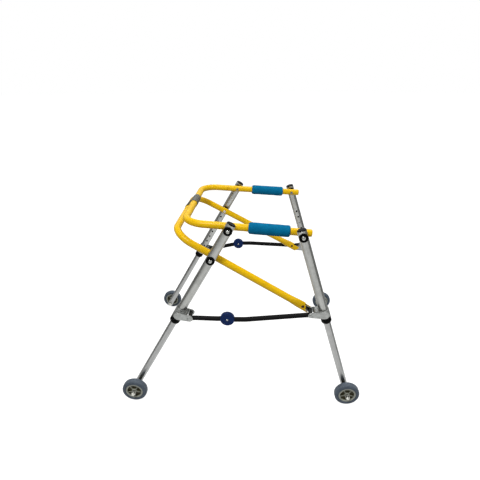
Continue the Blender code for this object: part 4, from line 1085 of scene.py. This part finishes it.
def strut(leg):
    """Flat bar with its half of the disc hinge and the rivet in it."""
    start = leg.world(leg.strut)
    along = Vector((DISC_X - start.x, 0, DISC_Z - start.z))
    length = along.length
    along.normalize()
    matrix = frame_at((start.x, 0, start.z), along, Y_AXIS, along.cross(Y_AXIS))
    outwards = -1 if leg.rear else 1
    level = DISC_Y + outwards * (GAP + DISC_HALF / 2)
    name = leg.strut_name
    body = name + "_strut"
    piece(name + "_flat_bar", made(bar_shell(leg, length, level)), [BLACK_STEEL], body,
          [name + "_strut"], matrix)
    place = Y_AXIS * leg.side * outwards, (length, leg.side * level, 0)
    high = DISC_HALF / 2
    dish = high - 0.0006
    rim = [(DISC_RADIUS - 0.0004, -high), (DISC_RADIUS, 0.0004 - high),
           (DISC_RADIUS, high - 0.0012), (DISC_RADIUS - 0.0012, high), (0.0172, high),
           (0.0166, dish), (0.0066, dish), (0.0058, high), (0, high)]
    disc = lathe([(0, -high)] + eased(rim, 0.0007), *place, FINE_ROUND)
    piece(name + "_disc", made(disc), [BLUE], body, [name + "_hinge_disc"], matrix)
    base = high - 0.001
    rivet = lathe([(0, base), (0.0034, base)] + dome(0.0034, high, 0.002), *place, SMALL_ROUND)
    piece(name + "_disc_rivet", made(rivet), [CHROME], body, matrix=matrix)


# Floor, light and camera

def ended(tree, output, lighting, seen):
    """End a tree with a shader that lights, and one that camera, mirrors and glass see."""
    path = add(tree, "LightPath")
    mask = path.outputs["Is Camera Ray"]
    for ray in ("Is Glossy Ray", "Is Transmission Ray"):
        mask = add(tree, "Math", links={0: mask, 1: path.outputs[ray]},
                   operation="MAXIMUM").outputs[0]
    mix = add(tree, "MixShader", links={0: mask, 1: lighting, 2: seen})
    add(tree, output, links={"Surface": mix.outputs[0]})


def sheet(name, corners, material_name):
    """Flat piece of the set, with the empty node tree of its material."""
    mesh = bpy.data.meshes.new(name)
    mesh.from_pydata(corners, [], [list(range(len(corners)))])
    material = bpy.data.materials.new(material_name)
    mesh.materials.append(material)
    return linked(name, mesh), fresh_tree(material)


def studio():
    """White room with a pale floor, three soft lamps and the cards that metal reflects."""
    world = bpy.data.worlds.new("studio")
    bpy.context.scene.world = world
    tree = fresh_tree(world)
    seen = add(tree, "Background", {"Color": WHITE, "Strength": 1.0}).outputs[0]
    light = add(tree, "Background", {"Color": WHITE, "Strength": 0.30}).outputs[0]
    ended(tree, "OutputWorld", light, seen)

    rim = [(-FLOOR_RADIUS * sin(angle), FLOOR_RADIUS * cos(angle), 0) for angle in full_turn(64)]
    floor, tree = sheet("floor", rim, "floor_paper")
    paper = add(tree, "BsdfDiffuse", {"Color": linear("#A8A8A8")}).outputs[0]
    glow = add(tree, "Emission", {"Color": WHITE, "Strength": 0.92}).outputs[0]
    both = add(tree, "AddShader", links={0: paper, 1: glow}).outputs[0]
    ended(tree, "OutputMaterial", paper, both)

    target = Vector((0, 0, 0.3))
    for name, place, size, power in (("key", (-0.5, -1.3, 2.4), 0.8, 34),
                                     ("fill", (1.9, -1.1, 1.3), 0.7, 8),
                                     ("top", (0.2, 0.7, 2.4), 1.2, 19)):
        lamp = bpy.data.lights.new(name, "AREA")
        lamp.shape = "DISK"
        lamp.size = size
        lamp.energy = power
        turn = (target - Vector(place)).to_track_quat("-Z", "Y")
        linked(name, lamp).matrix_world = Matrix.LocRotScale(Vector(place), turn, None)

    for index in range(7):
        angle = radians(-15 + 35 * index)
        outward = Vector((cos(angle), sin(angle), 0))
        across = Vector((-outward.y, outward.x, 0))
        dark_card("side_card_%d" % index, outward * 1.15 + Vector((0, 0, 0.45)), across * 0.34,
                  Vector((0, 0, 0.43)), PALE_CARD_FELT)
        dark_card("low_card_%d" % index, outward * 0.88 + Vector((0, 0, 0.003)), across * 0.25,
                  outward * 0.25, PALE_CARD_FELT)
    dark_card("overhead_card", (0, 0, 2.7), (2.2, 0, 0), (0, 1.8, 0), CARD_FELT)
    dark_card("front_card", (0, -2.6, 1.85), (2.2, 0, 0), (0, 0, 1.0), CARD_FELT)


def dark_card(name, centre, across, up, tone):
    """Card round the set, seen only in reflections, that gives metal its dark edges."""
    card, tree = sheet(name, [Vector(centre) + Vector(across) * right + Vector(up) * high
                              for right, high in ((-1, -1), (1, -1), (1, 1), (-1, 1))],
                       "card_felt")
    felt = add(tree, "BsdfDiffuse", {"Color": linear(tone)})
    add(tree, "OutputMaterial", links={"Surface": felt.outputs[0]})
    for ray in ("camera", "diffuse", "transmission", "shadow"):
        setattr(card, "visible_" + ray, False)


def camera():
    """Camera at the viewpoint worked out from the photograph."""
    data = bpy.data.cameras.new("camera")
    data.sensor_width = SENSOR
    data.lens = SENSOR * FOCAL_PIXELS / PICTURE
    data.shift_x = (PICTURE / 2 - CENTRE_PIXELS[0]) / PICTURE
    data.shift_y = (CENTRE_PIXELS[1] - PICTURE / 2) / PICTURE
    data.clip_start = 0.05
    data.clip_end = 50.0
    obj = linked("camera", data)
    place = Matrix.Translation(CAMERA_PLACE)
    for angle, axis in ((CAMERA_AZIMUTH, "Z"), (90 - CAMERA_ELEVATION, "X"), (-CAMERA_ROLL, "Z")):
        place = place @ Matrix.Rotation(radians(angle), 4, axis)
    obj.matrix_world = place
    bpy.context.scene.camera = obj


legs = [Leg(end, side_name) for end in ("rear", "front") for side_name in SIDES]
tyre = tyre_mesh()
hub = hub_mesh()
for leg in legs:
    build_leg(leg, tyre, hub)
    strut(leg)
handrail()
for side_name in SIDES:
    grip(side_name)
lower_frame()
lower_fastenings(legs)
clip()
studio()
camera()
bpy.context.scene.view_settings.view_transform = "Standard"
